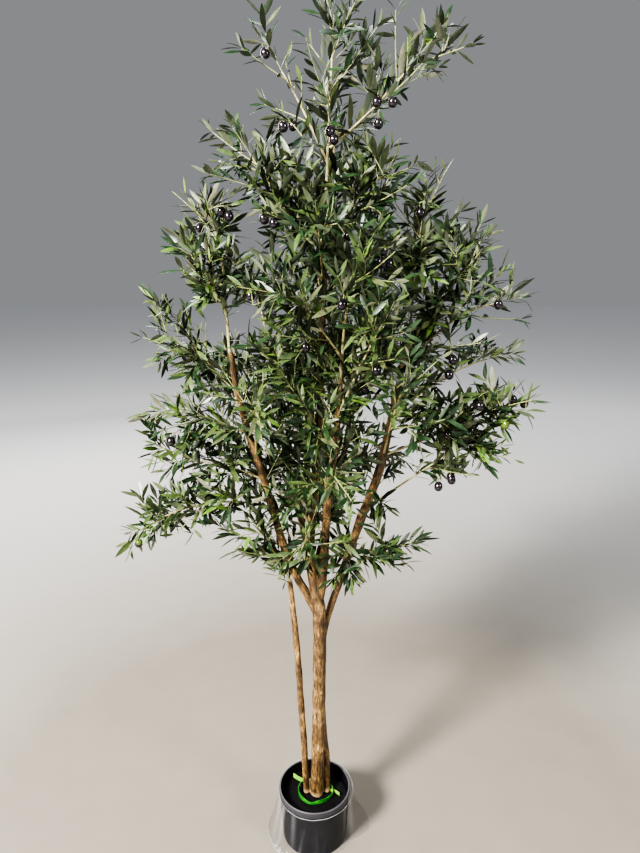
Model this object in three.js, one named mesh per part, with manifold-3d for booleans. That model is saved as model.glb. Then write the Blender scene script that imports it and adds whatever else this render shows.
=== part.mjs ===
// A potted artificial olive tree, 2.1 m tall: three stems in a small black pot, the boughs that fork from
// the main stem, and sprays of narrow leaves that grow from stems and boughs on all sides.
// Millimetres, +Z up, front towards -Y, origin at the middle of the pot's flat underside.
import * as THREE from "three";
import { mergeVertices } from "three/addons/utils/BufferGeometryUtils.js";
import Module from "manifold-3d";

const wasm = await Module();
wasm.setup();

const clearance = 0.3; // between pieces that meet
const finest = 0.05; // what a cut or a join leaves smaller than this is smoothed away

const pot = {
  height: 157,
  footRadius: 90,
  wallRadius: 97.5, // below the lip
  lipRadius: 100,
  lipHeight: 18,
  wall: 2.5,
  bevel: 2,
  sides: 28,
};
const fillTop = 127; // the ballast stops this far above the underside, and the stems stand on it
const tie = { centre: [2, -1], radii: [50, 39], height: 14, thick: 2, steps: 16 };
const tieTails = [
  { from: [-21, 31], to: [-62, 62] },
  { from: [46, 6], to: [70, -11] },
];
const film = {
  wall: 0.8,
  // from its upper edge to its hem: the height, how far its inside stands off the pot's lip there, and how
  // much of the hem's reach is added
  profile: [
    [147, 2.6, 0],
    [139, 0.8, 0],
    [100, 0.8, 0.2],
    [45, 0.8, 0.55],
    [1, 0.8, 1],
  ],
  // how far the hem reaches, every 30 degrees from the right by way of the back
  hem: [54, 58, 42, 30, 28, 30, 33, 25, 14, 7, 2, 0],
  slant: 8, // how far the edge dips in front and rises behind
  sway: 5, // how far the edge stands off on the right
  folds: 7,
  foldDepth: 0.02, // of the radius, at the hem
};

// Each waypoint of a limb is x, y, z and the limb's radius there.
const limbs = [
  {
    name: "main_stem",
    sides: 10,
    rings: 17,
    path: [
      [6, 0, fillTop + clearance, 18],
      [12, 0, 420, 17.5],
      [13, 0, 700, 18],
      [-10, 4, 880, 12],
      [10, 10, 1110, 10],
      [19, 6, 1390, 8],
      [26, 0, 1600, 6],
      [32, 0, 1830, 3.2],
    ],
  },
  {
    name: "right_stem",
    sides: 8,
    rings: 13,
    path: [
      [34, 9, fillTop + clearance, 10.5],
      [32, 22, 230, 10],
      [23, 28, 340, 9.8],
      [18, 30, 470, 9.5],
      [26, 29, 630, 9.5],
      [68, 16, 790, 10],
      [109, 10, 935, 11.5],
      [159, 4, 1083, 11],
      [194, 0, 1270, 8.5],
      [219, 0, 1400, 5],
    ],
  },
  {
    name: "left_stem",
    sides: 8,
    rings: 7,
    path: [
      [-22, 6, fillTop + clearance, 9.5],
      [-34, 4, 380, 9],
      [-48, 2, 620, 8.5],
      [-63, 0, 795, 7],
    ],
  },
  {
    name: "left_bough",
    parent: "main_stem",
    sides: 8,
    rings: 11,
    path: [
      [12, 0, 690, 12],
      [-67, -4, 863, 10],
      [-123, -10, 1075, 9.5],
      [-174, -12, 1261, 8],
      [-192, -7, 1375, 6.8],
      [-196, -6, 1402, 4.8],
      [-205, 0, 1600, 3.5],
    ],
  },
  {
    name: "middle_bough",
    parent: "main_stem",
    sides: 7,
    rings: 9,
    path: [
      [14, 0, 730, 12],
      [26, -16, 860, 11],
      [34, -45, 1050, 10],
      [53, -65, 1198, 8],
      [67, -84, 1440, 3.5],
    ],
  },
  {
    name: "back_left_bough",
    parent: "main_stem",
    sides: 7,
    rings: 8,
    path: [
      [4, 6, 750, 11],
      [-28, 62, 910, 10],
      [-78, 135, 1100, 8],
      [-121, 195, 1380, 4],
    ],
  },
  {
    name: "back_right_bough",
    parent: "main_stem",
    sides: 7,
    rings: 8,
    path: [
      [0, 2, 800, 11],
      [36, 60, 940, 9.5],
      [82, 125, 1120, 8],
      [122, 185, 1400, 4],
    ],
  },
];

// How every spray grows. Its stem runs from a limb towards the spray's tip, twigs turn round the stem by
// the golden angle, and leaves stand on a twig in opposite pairs. Stem and twigs each end in a leaf.
const growth = {
  goldenAngle: 2.39996,
  twigs: 6, // on a stem, where the table below has no number
  twigStagger: 0.4, // of the room between two twigs, before the first one
  bareShare: 0.22, // of the stem, before its first twig
  turnJitter: 0.6, // radians, at most, added to a twig's turn
  leanJitter: 0.15, // how much of its lean a twig may lose or gain
  lengthJitter: 0.18,
  leafJitter: 0.15,
  stemRadius: 4,
  stemEndRadius: 2,
  twigRadius: 2.8,
  twigEndRadius: 1.5,
  twigLength: 110, // of a spray's longest twigs, which its spread makes longer or shorter
  twigShrink: 0.45, // how much shorter the twigs by the tip are
  twigLean: 0.85, // radians between a twig and the stem
  uplift: 0.15, // how much of its length a twig turns up towards the light
  leafLean: 0.75, // radians between a leaf and its twig
  pairAt: 0.55, // how far along a twig its pair of leaves stands
  stemPairAt: 0.86, // and along the stem, its own pair
  oliveAt: 0.8, // how far along a twig an olive hangs
  twigCuts: [1, 0.7, 0.45], // what a twig is cut to until it stays in its spray's space
  leafCuts: [1, 0.8, 0.6], // and a leaf
};
const leaf = {
  length: 105,
  width: 32,
  thick: 3,
  widest: 0.42, // of the way from its root
  rootGap: 0.2, // between its root and the middle of its twig
};
const olive = { length: 28, width: 22, drop: 12 };
const margin = 3; // leaves and twigs keep this far from other sprays' space and from limbs
const draws = { seed: 7919, perSpray: 100, multiplier: 1664525, increment: 1013904223, range: 2 ** 32 };

// A spray leaves its limb at a height and reaches its tip, with its middle lifted by arch.
const sprays = [
  { name: "crown_tip", from: ["main_stem", 1830], tip: [46, 0, 2122], arch: 0, twigs: 5 },
  { name: "crown_right", from: ["main_stem", 1822], tip: [294, -40, 2068], arch: -20, twigs: 5, olives: 1 },
  { name: "crown_left", from: ["main_stem", 1795], tip: [-114, 30, 2070], arch: 15, twigs: 5, spread: 0.65 },
  { name: "crown_back", from: ["main_stem", 1700], tip: [70, 180, 1980], arch: 20, twigs: 4 },
  { name: "upper_left", from: ["main_stem", 1560], tip: [-188, -40, 1895], arch: 10, spread: 1.1, olives: 1 },
  { name: "upper_right", from: ["main_stem", 1600], tip: [189, -50, 1855], arch: 0 },
  { name: "upper_front", from: ["main_stem", 1520], tip: [4, -220, 1740], arch: 20, olives: 1 },
  { name: "upper_back", from: ["main_stem", 1450], tip: [-26, 260, 1780], arch: 40, twigs: 5 },
  { name: "core_right", from: ["main_stem", 1290], tip: [124, -50, 1500], arch: 10, twigs: 5 },
  { name: "core_back", from: ["main_stem", 1250], tip: [-26, 170, 1480], arch: 10, twigs: 4 },
  { name: "core_left", from: ["main_stem", 1180], tip: [-96, -90, 1400], arch: 10, twigs: 5 },
  { name: "core_low", from: ["main_stem", 930], tip: [-66, -110, 1130], arch: 10, twigs: 5 },
  { name: "skirt_front", from: ["main_stem", 880], tip: [-26, -170, 1040], arch: 10, twigs: 5, spread: 0.8 },
  { name: "skirt_back", from: ["main_stem", 900], tip: [14, 250, 1010], arch: 30, twigs: 5 },
  { name: "left_crest", from: ["left_bough", 1600], tip: [-234, 0, 1755], arch: 0, twigs: 5, olives: 2 },
  { name: "left_shoulder", from: ["left_bough", 1470], tip: [-276, -65, 1645], arch: 10, twigs: 5 },
  { name: "left_wing", from: ["left_bough", 1290], tip: [-368, 30, 1500], arch: -15, twigs: 5 },
  { name: "left_arm", from: ["left_bough", 1185], tip: [-381, -70, 1285], arch: 15, twigs: 5, olives: 1 },
  { name: "left_low", from: ["left_bough", 1070], tip: [-436, 60, 1120], arch: 30, twigs: 5, spread: 0.85 },
  { name: "left_sprig", from: ["left_bough", 998], tip: [-488, -60, 972], arch: 60, spread: 0.55, olives: 1 },
  { name: "left_front", from: ["left_bough", 1130], tip: [-116, -270, 1380], arch: 20, twigs: 5 },
  { name: "right_crest", from: ["right_stem", 1374], tip: [389, -10, 1705], arch: 0, olives: 1 },
  { name: "right_upper", from: ["right_stem", 1400], tip: [254, 20, 1808], arch: 0 },
  { name: "right_wing", from: ["right_stem", 1338], tip: [482, -50, 1562], arch: 60, twigs: 5, olives: 1 },
  { name: "right_arm", from: ["right_stem", 1225], tip: [506, 60, 1412], arch: 40, twigs: 5, olives: 1 },
  { name: "right_hand", from: ["right_stem", 1130], tip: [521, -60, 1312], arch: -10, twigs: 5, olives: 2 },
  { name: "right_low", from: ["right_stem", 985], tip: [472, -50, 1254], arch: 10, bare: 0.45, olives: 1 },
  { name: "right_sprig", from: ["right_stem", 845], tip: [259, -90, 960], arch: 15, bare: 0.05, spread: 0.5 },
  { name: "right_front", from: ["right_stem", 1130], tip: [189, -260, 1400], arch: 20, twigs: 5 },
  { name: "middle_crest", from: ["middle_bough", 1440], tip: [99, -190, 1690], arch: 10, olives: 1 },
  { name: "middle_left", from: ["middle_bough", 1380], tip: [-106, -150, 1610], arch: 10, olives: 1 },
  { name: "middle_right", from: ["middle_bough", 1250], tip: [174, -220, 1550], arch: 10, twigs: 5 },
  { name: "core_front", from: ["middle_bough", 1130], tip: [-36, -190, 1350], arch: 10, twigs: 5 },
  { name: "middle_low", from: ["middle_bough", 1050], tip: [34, -270, 1230], arch: 20, twigs: 5 },
  { name: "skirt_left", from: ["left_stem", 795], tip: [-178, -50, 1045], arch: 10, twigs: 5, spread: 0.65 },
  { name: "back_left_crest", from: ["back_left_bough", 1380], tip: [-186, 320, 1620], arch: 10, twigs: 4 },
  { name: "back_left_wing", from: ["back_left_bough", 1230], tip: [-331, 260, 1400], arch: 30, twigs: 5 },
  { name: "back_left_low", from: ["back_left_bough", 1000], tip: [-236, 290, 1090], arch: 30, twigs: 4 },
  { name: "back_middle", from: ["back_left_bough", 1120], tip: [-26, 330, 1340], arch: 30, twigs: 4 },
  { name: "back_right_crest", from: ["back_right_bough", 1400], tip: [204, 300, 1630], arch: 10, twigs: 4 },
  { name: "back_right_wing", from: ["back_right_bough", 1260], tip: [369, 250, 1450], arch: 30, twigs: 5 },
  { name: "back_right_low", from: ["back_right_bough", 1030], tip: [264, 280, 1130], arch: 30, twigs: 4 },
];

const colours = {
  pot: { color: 0x1d1d1f, roughness: 0.45, metalness: 0 },
  fill: { color: 0x0b0b0b, roughness: 0.95, metalness: 0 },
  tie: { color: 0x2fa52a, roughness: 0.4, metalness: 0 },
  film: { color: 0xd8dadc, roughness: 0.15, metalness: 0, transparent: true, opacity: 0.3 },
  bark: { color: 0x9a7346, roughness: 0.75, metalness: 0 },
  foliage: { color: 0x3c4f2b, roughness: 0.5, metalness: 0 },
};
const materials = Object.fromEntries(
  Object.entries(colours).map(([name, look]) => [name, new THREE.MeshStandardMaterial(look)]),
);

// The tree is one group of named meshes.
const tree = new THREE.Group();

function place(name, geometry, material) {
  const mesh = new THREE.Mesh(geometry, material);
  mesh.name = name;
  tree.add(mesh);
}

// A closed geometry as a solid that can be joined and cut.
function solidOf(geometry) {
  const bare = geometry.index ? geometry.toNonIndexed() : geometry.clone();
  bare.deleteAttribute("normal");
  bare.deleteAttribute("uv");
  const merged = mergeVertices(bare, 1e-4);
  return new wasm.Manifold(
    new wasm.Mesh({
      numProp: 3,
      vertProperties: merged.attributes.position.array,
      triVerts: new Uint32Array(merged.index.array),
    }),
  );
}

// The largest body of a solid as a geometry: what a cut leaves loose is dropped.
function geometryOf(solid) {
  const bodies = solid.simplify(finest).decompose();
  bodies.sort((a, b) => b.volume() - a.volume());
  const mesh = bodies[0].getMesh();
  const geometry = new THREE.BufferGeometry();
  geometry.setAttribute("position", new THREE.BufferAttribute(mesh.vertProperties, 3));
  geometry.setIndex(new THREE.BufferAttribute(mesh.triVerts, 1));
  geometry.computeVertexNormals();
  return geometry;
}

// A bar along a curve: the rings of a cylinder, each at its share of the curve's length and with its own
// radius. Its two ends reach further by overrun, and its foot may be cut level.
function barAlong(curve, radiusAt, sides, rings, overrun, level) {
  const geometry = new THREE.CylinderGeometry(1, 1, 1, sides, rings);
  const frames = curve.computeFrenetFrames(rings, false);
  const spots = geometry.attributes.position;
  for (let i = 0; i < spots.count; i++) {
    const share = THREE.MathUtils.clamp(spots.getY(i) + 0.5, 0, 1);
    const ring = Math.round(share * rings);
    const radius = radiusAt(share);
    const spot = curve
      .getPointAt(share)
      .addScaledVector(frames.normals[ring], spots.getX(i) * radius)
      .addScaledVector(frames.binormals[ring], -spots.getZ(i) * radius);
    if (ring === 0) spot.addScaledVector(frames.tangents[ring], -overrun);
    if (ring === rings) spot.addScaledVector(frames.tangents[ring], overrun);
    if (ring === 0 && level !== null) spot.z = level;
    spots.setXYZ(i, spot.x, spot.y, spot.z);
  }
  return geometry;
}

// A limb's curve runs smoothly through its waypoints.
function curveOf(limb) {
  const spots = limb.path.map(([x, y, z]) => new THREE.Vector3(x, y, z));
  return new THREE.CatmullRomCurve3(spots, false, "catmullrom", 0.5);
}

// A limb's radius runs evenly from waypoint to waypoint.
function limbRadius(limb, share) {
  const along = limb.curve.getUtoTmapping(share) * (limb.path.length - 1);
  const step = Math.min(Math.floor(along), limb.path.length - 2);
  return THREE.MathUtils.lerp(limb.path[step][3], limb.path[step + 1][3], along - step);
}

function limbSolid(limb, grow = 0) {
  const radiusAt = (share) => limbRadius(limb, share) + grow;
  const level = limb.parent ? null : limb.path[0][2] - grow;
  return solidOf(barAlong(limb.curve, radiusAt, limb.sides, limb.rings, grow, level));
}

// The point at which a limb passes a height. Limbs climb all the way.
function pointAtHeight(limb, height) {
  let low = 0;
  let high = 1;
  for (let i = 0; i < 30; i++) {
    const middle = (low + high) / 2;
    if (limb.curve.getPoint(middle).z < height) low = middle;
    else high = middle;
  }
  return limb.curve.getPoint(high);
}

// Short straight lines that follow a curve.
function linesAlong(curve, count) {
  const spots = curve.getSpacedPoints(count);
  return spots.slice(1).map((spot, i) => new THREE.Line3(spots[i], spot));
}

// The point at a share of the way along such lines, and the direction there.
function pointOn(lines, share) {
  const step = Math.min(Math.floor(share * lines.length), lines.length - 1);
  return lines[step].at(share * lines.length - step, new THREE.Vector3());
}

function headingOn(lines, share) {
  const step = Math.min(Math.floor(share * lines.length), lines.length - 1);
  return lines[step].delta(new THREE.Vector3()).normalize();
}

const nearest = new THREE.Vector3();
function distanceTo(line, point) {
  return line.closestPointToPoint(point, true, nearest).distanceTo(point);
}

for (const limb of limbs) {
  limb.curve = curveOf(limb);
  limb.solid = limbSolid(limb);
  limb.room = limbSolid(limb, clearance);
  limb.lines = linesAlong(limb.curve, limb.rings * 2);
  limb.radii = limb.lines.map((_, i) => limbRadius(limb, i / limb.lines.length));
}
const limbNamed = (name) => limbs.find((limb) => limb.name === name);

// A bough starts inside its parent and is cut clear of every limb that comes before it.
limbs.forEach((limb, index) => {
  let solid = limb.solid;
  if (limb.parent) {
    for (const other of limbs.slice(0, index)) solid = solid.subtract(other.room);
  }
  place(limb.name, geometryOf(solid), materials.bark);
});

// A spray's stem bends once, halfway from its limb to where its last leaf begins.
const stemLines = 4;
for (const spray of sprays) {
  const [limbName, height] = spray.from;
  const foot = pointAtHeight(limbNamed(limbName), height);
  const tip = new THREE.Vector3(...spray.tip);
  tip.addScaledVector(tip.clone().sub(foot).normalize(), -leaf.length);
  const bend = foot.clone().lerp(tip, 0.5);
  bend.z += spray.arch;
  spray.stem = new THREE.QuadraticBezierCurve3(foot, bend, tip);
  spray.lines = linesAlong(spray.stem, stemLines);
}

// A spray's own space is all that lies nearer to its stem than to any other, clear of every limb.
function inOwnSpace(spray, point) {
  const near = Math.min(...spray.lines.map((line) => distanceTo(line, point)));
  for (const other of sprays) {
    if (other === spray) continue;
    if (other.lines.some((line) => distanceTo(line, point) < near + margin)) return false;
  }
  const clearOf = (limb) => limb.lines.every((line, i) => distanceTo(line, point) > limb.radii[i] + margin);
  return limbs.every(clearOf);
}

// Even draws between 0 and 1, the same on every run, with a sequence of its own for each twig of a spray.
function drawsFrom(sprayIndex, twigIndex) {
  let state = (sprayIndex * draws.perSpray + twigIndex + 1) * draws.seed;
  return () => {
    state = (state * draws.multiplier + draws.increment) % draws.range;
    return state / draws.range;
  };
}

// A number near 1, off by a jitter at most.
const nearOne = (draw, jitter) => 1 + jitter * (2 * draw() - 1);

// A direction square to another one, turned round it by an angle.
function sideways(along, turn) {
  const base = new THREE.Vector3(0, 0, 1).cross(along).normalize();
  return base.applyAxisAngle(along, turn);
}

// The direction that leans off another one by an angle, towards a side.
function leanOff(along, side, angle) {
  return along.clone().multiplyScalar(Math.cos(angle)).addScaledVector(side, Math.sin(angle));
}

// A triangle of radius 1, in whose shape leaves and twigs are drawn, is this wide and deep.
const triangle = { width: Math.sqrt(3), depth: 1.5 };

// One narrow leaf of three long sides that meet in a low keel, its root sunk in the twig.
function leafGeometry(root, along, side, size) {
  const outline = [new THREE.Vector2(0, 0), new THREE.Vector2(1, leaf.widest), new THREE.Vector2(0, 1)];
  const geometry = new THREE.LatheGeometry(outline, 3);
  geometry.scale((leaf.width * size) / triangle.width, leaf.length * size, leaf.thick / triangle.depth);
  geometry.translate(0, leaf.rootGap, 0);
  const across = side.clone().cross(along).normalize();
  const facing = across.clone().cross(along);
  return geometry.applyMatrix4(new THREE.Matrix4().makeBasis(across, along, facing).setPosition(root));
}

// A three-sided twig along a curve that ends in a leaf, in one piece: the rings of a cone, the last but one
// flattened to the leaf's broadest place, and the cone's point as the leaf's tip.
function shootGeometry(curve, fromRadius, toRadius, rings, size) {
  const geometry = new THREE.ConeGeometry(1, 1, 3, rings + 2);
  const frames = curve.computeFrenetFrames(rings, false);
  const end = curve.getPointAt(1);
  const spots = geometry.attributes.position;
  for (let i = 0; i < spots.count; i++) {
    const level = Math.round((spots.getY(i) + 0.5) * (rings + 2));
    const ring = Math.min(level, rings);
    const open = rings + 2 - level > 0 ? (rings + 2) / (rings + 2 - level) : 0;
    const radius = THREE.MathUtils.lerp(fromRadius, toRadius, ring / rings);
    const inLeaf = level > rings;
    const wide = inLeaf ? (leaf.width * size) / triangle.width : radius;
    const deep = inLeaf ? leaf.thick / triangle.depth : radius;
    const reach = inLeaf ? leaf.length * size * (level > rings + 1 ? 1 : leaf.widest) : 0;
    const spot = (inLeaf ? end.clone() : curve.getPointAt(ring / rings))
      .addScaledVector(frames.tangents[ring], reach)
      .addScaledVector(frames.normals[ring], spots.getX(i) * open * wide)
      .addScaledVector(frames.binormals[ring], -spots.getZ(i) * open * deep);
    spots.setXYZ(i, spot.x, spot.y, spot.z);
  }
  return geometry;
}

// An olive hangs from its twig, with its top sunk in it.
function oliveGeometry(twigSpot) {
  const geometry = new THREE.IcosahedronGeometry(1);
  geometry.scale(olive.width / 2, olive.width / 2, olive.length / 2);
  return geometry.translate(twigSpot.x, twigSpot.y, twigSpot.z - olive.drop);
}

// Whether every corner of a geometry, and the middle of every face, lies in the spray's own space.
function staysIn(spray, geometry) {
  const { array } = (geometry.index ? geometry.toNonIndexed() : geometry).attributes.position;
  for (let i = 0; i < array.length; i += 9) {
    const corners = [0, 3, 6].map((step) => new THREE.Vector3().fromArray(array, i + step));
    const middle = corners[0].clone().add(corners[1]).add(corners[2]).divideScalar(3);
    if (![...corners, middle].every((point) => inOwnSpace(spray, point))) return false;
  }
  return true;
}

// The first of some shapes, largest first, that stays in its spray's space and crosses none of its parts
// but the one that bears it.
function firstFit(spray, shapes, parts, bearer) {
  return shapes.find((shape) => {
    if (!staysIn(spray, shape.geometry)) return false;
    shape.solid = solidOf(shape.geometry);
    return parts.every((part) => part === bearer || part.solid.intersect(shape.solid).isEmpty());
  });
}

// A twig leans off the stem and turns up a little, in each of the lengths it may be cut to.
function twigShapes(spray, share, turn, draw) {
  const foot = pointOn(spray.lines, share);
  const along = headingOn(spray.lines, share);
  const heading = leanOff(along, sideways(along, turn), growth.twigLean * nearOne(draw, growth.leanJitter));
  heading.z += growth.uplift;
  heading.normalize();
  const reach = growth.twigLength * (spray.spread ?? 1) * (1 - growth.twigShrink * share);
  const length = reach * nearOne(draw, growth.lengthJitter);
  return growth.twigCuts.map((cut) => {
    const curve = new THREE.LineCurve3(foot, foot.clone().addScaledVector(heading, length * cut));
    const geometry = shootGeometry(curve, growth.twigRadius, growth.twigEndRadius, 1, Math.sqrt(cut));
    return { geometry, lines: linesAlong(curve, 1) };
  });
}

// Two leaves that face each other across a twig or stem, each in the sizes it may be cut to.
function leafPairShapes(bearer, share, turn, draw) {
  const spot = pointOn(bearer.lines, share);
  const along = headingOn(bearer.lines, share);
  return [turn, turn + Math.PI].map((angle) => {
    const side = sideways(along, angle);
    const heading = leanOff(along, side, growth.leafLean);
    const size = nearOne(draw, growth.leafJitter);
    return growth.leafCuts.map((cut) => ({ geometry: leafGeometry(spot, heading, side, size * cut) }));
  });
}

function sprayGeometry(spray, index) {
  const { stemRadius, stemEndRadius, twigStagger, pairAt, stemPairAt, oliveAt } = growth;
  const shoot = shootGeometry(spray.stem, stemRadius, stemEndRadius, stemLines, 1);
  const stem = { solid: solidOf(shoot), lines: spray.lines };
  const parts = [stem];
  const grow = (shapes, bearer) => {
    const shape = firstFit(spray, shapes, parts, bearer);
    if (shape) parts.push(shape);
    return shape;
  };

  const bare = spray.bare ?? growth.bareShare;
  const twigs = spray.twigs ?? growth.twigs;
  for (let i = 0; i < twigs; i++) {
    const draw = drawsFrom(index, i);
    const share = bare + ((1 - bare) * (i + twigStagger)) / twigs;
    const turn = index + i * growth.goldenAngle + draw() * growth.turnJitter;
    const twig = grow(twigShapes(spray, share, turn, draw), stem);
    if (!twig) continue;
    for (const shapes of leafPairShapes(twig, pairAt, draw() * Math.PI, draw)) grow(shapes, twig);
    if (i < (spray.olives ?? 0)) grow([{ geometry: oliveGeometry(pointOn(twig.lines, oliveAt)) }], twig);
  }
  const lastDraw = drawsFrom(index, twigs);
  for (const shapes of leafPairShapes(stem, stemPairAt, lastDraw() * Math.PI, lastDraw)) grow(shapes, stem);

  let solid = wasm.Manifold.union(parts.map((part) => part.solid));
  for (const limb of limbs) solid = solid.subtract(limb.room);
  return geometryOf(solid);
}

sprays.forEach((spray, index) => place(spray.name, sprayGeometry(spray, index), materials.foliage));

// The pot: a tapered wall with a thick lip, open at the top and flat below.
function potGeometry() {
  const { height, footRadius, wallRadius, lipRadius, lipHeight, wall, bevel } = pot;
  const lipFoot = height - lipHeight;
  const outline = [
    [0, 0],
    [footRadius - bevel, 0],
    [footRadius, bevel],
    [wallRadius, lipFoot],
    [lipRadius, lipFoot + bevel],
    [lipRadius, height - bevel],
    [lipRadius - bevel, height],
    [wallRadius - wall + bevel, height],
    [wallRadius - wall, height - bevel],
    [wallRadius - wall, lipFoot],
    [footRadius - wall, wall],
    [0, wall],
  ];
  return latheOf(outline, pot.sides);
}

function latheOf(outline, sides) {
  const points = outline.map(([radius, height]) => new THREE.Vector2(radius, height));
  return new THREE.LatheGeometry(points, sides).rotateX(Math.PI / 2);
}

// The ballast fills the pot inside its wall, up to the stems' feet.
function fillGeometry() {
  const { height, footRadius, wallRadius, lipHeight, wall } = pot;
  const floor = wall + clearance;
  const flare = (wallRadius - footRadius) / (height - lipHeight - wall);
  const radiusAt = (level) => footRadius - wall + flare * (level - wall) - 2 * clearance;
  return latheOf(
    [
      [0, floor],
      [radiusAt(floor), floor],
      [radiusAt(fillTop), fillTop],
      [0, fillTop],
    ],
    pot.sides,
  );
}

// The strap tied round the stems' feet: an oval band on edge, with its two ends sticking out.
function tieGeometry() {
  const { centre, radii, height, thick, steps } = tie;
  const insideRadii = radii.map((radius) => radius - thick);
  const band = new THREE.Shape().absellipse(...centre, ...radii, 0, Math.PI * 2);
  band.holes.push(new THREE.Path().absellipse(...centre, ...insideRadii, 0, Math.PI * 2));
  const extrusion = { depth: height, bevelEnabled: false, curveSegments: steps };
  const parts = [new THREE.ExtrudeGeometry(band, extrusion)];
  for (const { from, to } of tieTails) {
    const run = new THREE.Vector2(to[0] - from[0], to[1] - from[1]);
    const tail = new THREE.BoxGeometry(run.length(), thick, height);
    tail.rotateZ(run.angle());
    parts.push(tail.translate((from[0] + to[0]) / 2, (from[1] + to[1]) / 2, height / 2));
  }
  const solid = wasm.Manifold.union(parts.map(solidOf));
  return geometryOf(solid).translate(0, 0, fillTop + clearance);
}

// A closed shell: an open surface as its inside, the same surface moved out and up by the wall as its
// outside, and strips between the two along the rims.
function shellOf(surface, wall) {
  const bare = surface.toNonIndexed();
  bare.deleteAttribute("normal");
  bare.deleteAttribute("uv");
  const merged = mergeVertices(bare, 1e-4);
  const inside = merged.attributes.position;
  const spots = [...inside.array];
  for (let i = 0; i < inside.count; i++) {
    const spot = new THREE.Vector3().fromBufferAttribute(inside, i);
    const outward = new THREE.Vector3(spot.x, spot.y, 0).setLength(wall).setZ(wall);
    spots.push(...spot.add(outward));
  }

  const faces = [];
  for (let i = 0; i < merged.index.count; i += 3) faces.push([...merged.index.array.slice(i, i + 3)]);
  const edges = faces.flatMap(([a, b, c]) => [[a, b], [b, c], [c, a]]);
  const known = new Set(edges.map(String));
  const rims = edges.filter(([a, b]) => !known.has(String([b, a])));
  const outer = (corner) => corner + inside.count;
  const shell = new THREE.BufferGeometry();
  shell.setAttribute("position", new THREE.Float32BufferAttribute(spots, 3));
  shell.setIndex([
    ...faces.flatMap((face) => face.map(outer)),
    ...faces.flatMap(([a, b, c]) => [c, b, a]),
    ...rims.flatMap(([a, b]) => [a, b, outer(b), a, outer(b), outer(a)]),
  ]);
  shell.computeVertexNormals();
  return shell;
}

// How far the film's hem reaches in a direction, evenly between the ones it is given for.
function hemReach(angle) {
  const { hem } = film;
  const way = THREE.MathUtils.euclideanModulo(angle / (Math.PI * 2), 1) * hem.length;
  const step = Math.floor(way) % hem.length;
  const weight = THREE.MathUtils.smoothstep(way - Math.floor(way), 0, 1);
  return THREE.MathUtils.lerp(hem[step], hem[(step + 1) % hem.length], weight);
}

// The clear film round the pot: it hugs the lip, stands off a little on the right, hangs in folds and
// spreads on the floor, least in front on the right.
function filmGeometry() {
  const { wall, profile, slant, sway, folds, foldDepth } = film;
  const top = profile[0][0];
  const hemUp = profile.map(([height, off]) => [pot.lipRadius + off, height]).reverse();
  const surface = latheOf(hemUp, pot.sides);
  const spots = surface.attributes.position;
  for (let i = 0; i < spots.count; i++) {
    const [x, y, z] = [spots.getX(i), spots.getY(i), spots.getZ(i)];
    const angle = Math.atan2(y, x);
    const rise = z / top;
    const [, off, share] = profile.find(([height]) => Math.abs(height - z) < finest);
    const wave = Math.sin(angle * folds) + 0.5 * Math.sin(angle * (folds + 4) + 1);
    const reach = (share * hemReach(angle)) / (pot.lipRadius + off);
    const swell = 1 + reach + foldDepth * share * wave;
    const standOff = sway * rise * Math.max(Math.cos(angle), 0);
    spots.setXYZ(i, x * swell + standOff, y * swell, z + slant * rise * Math.sin(angle));
  }
  return shellOf(surface, wall);
}

place("pot", potGeometry(), materials.pot);
place("ballast_fill", fillGeometry(), materials.fill);
place("green_tie", tieGeometry(), materials.tie);
place("clear_film", filmGeometry(), materials.film);

export default tree;
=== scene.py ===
# A potted artificial olive tree, 2.1 m tall: bark, twigs, leaves and olives grown by the part's own rule,
# and its pot with ballast, strap and clear film. The tables are in millimetres, the scene is in metres.
import math
import random
import bpy
import numpy as np
from mathutils import Matrix, Vector, noise


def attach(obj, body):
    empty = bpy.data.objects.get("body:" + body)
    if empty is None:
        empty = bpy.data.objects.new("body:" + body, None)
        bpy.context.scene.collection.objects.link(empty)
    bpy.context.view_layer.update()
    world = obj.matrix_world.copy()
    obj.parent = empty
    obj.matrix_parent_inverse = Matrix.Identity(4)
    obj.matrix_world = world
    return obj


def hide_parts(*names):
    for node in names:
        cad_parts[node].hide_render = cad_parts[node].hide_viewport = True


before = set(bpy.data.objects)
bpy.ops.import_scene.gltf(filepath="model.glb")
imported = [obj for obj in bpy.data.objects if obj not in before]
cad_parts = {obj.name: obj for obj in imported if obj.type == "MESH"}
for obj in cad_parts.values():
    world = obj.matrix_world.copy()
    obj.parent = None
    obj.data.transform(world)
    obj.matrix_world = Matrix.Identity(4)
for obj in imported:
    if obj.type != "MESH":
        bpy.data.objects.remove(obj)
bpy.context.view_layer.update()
mm = 0.001
fullTurn = 2 * math.pi
up = Vector((0, 0, 1))
print("frame loaded:", len(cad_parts), "nodes")


# Small helpers for working on one object at a time.
def pick(thing):
    bpy.ops.object.select_all(action="DESELECT")
    thing.select_set(True)
    bpy.context.view_layer.objects.active = thing


def added(primitive, **options):
    # a new primitive, with nothing else selected
    bpy.ops.object.select_all(action="DESELECT")
    primitive(**options)
    return bpy.context.object


def linked(name, data):
    thing = bpy.data.objects.new(name, data)
    bpy.context.scene.collection.objects.link(thing)
    return thing


def meshFrom(name, spots, edges, faces):
    mesh = bpy.data.meshes.new(name)
    mesh.from_pydata(spots, edges, faces)
    return linked(name, mesh)


def applyModifier(thing, kind, **settings):
    modifier = thing.modifiers.new(kind.lower(), kind)
    for key, value in settings.items():
        setattr(modifier, key, value)
    pick(thing)
    bpy.ops.object.modifier_apply(modifier=modifier.name)


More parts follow.
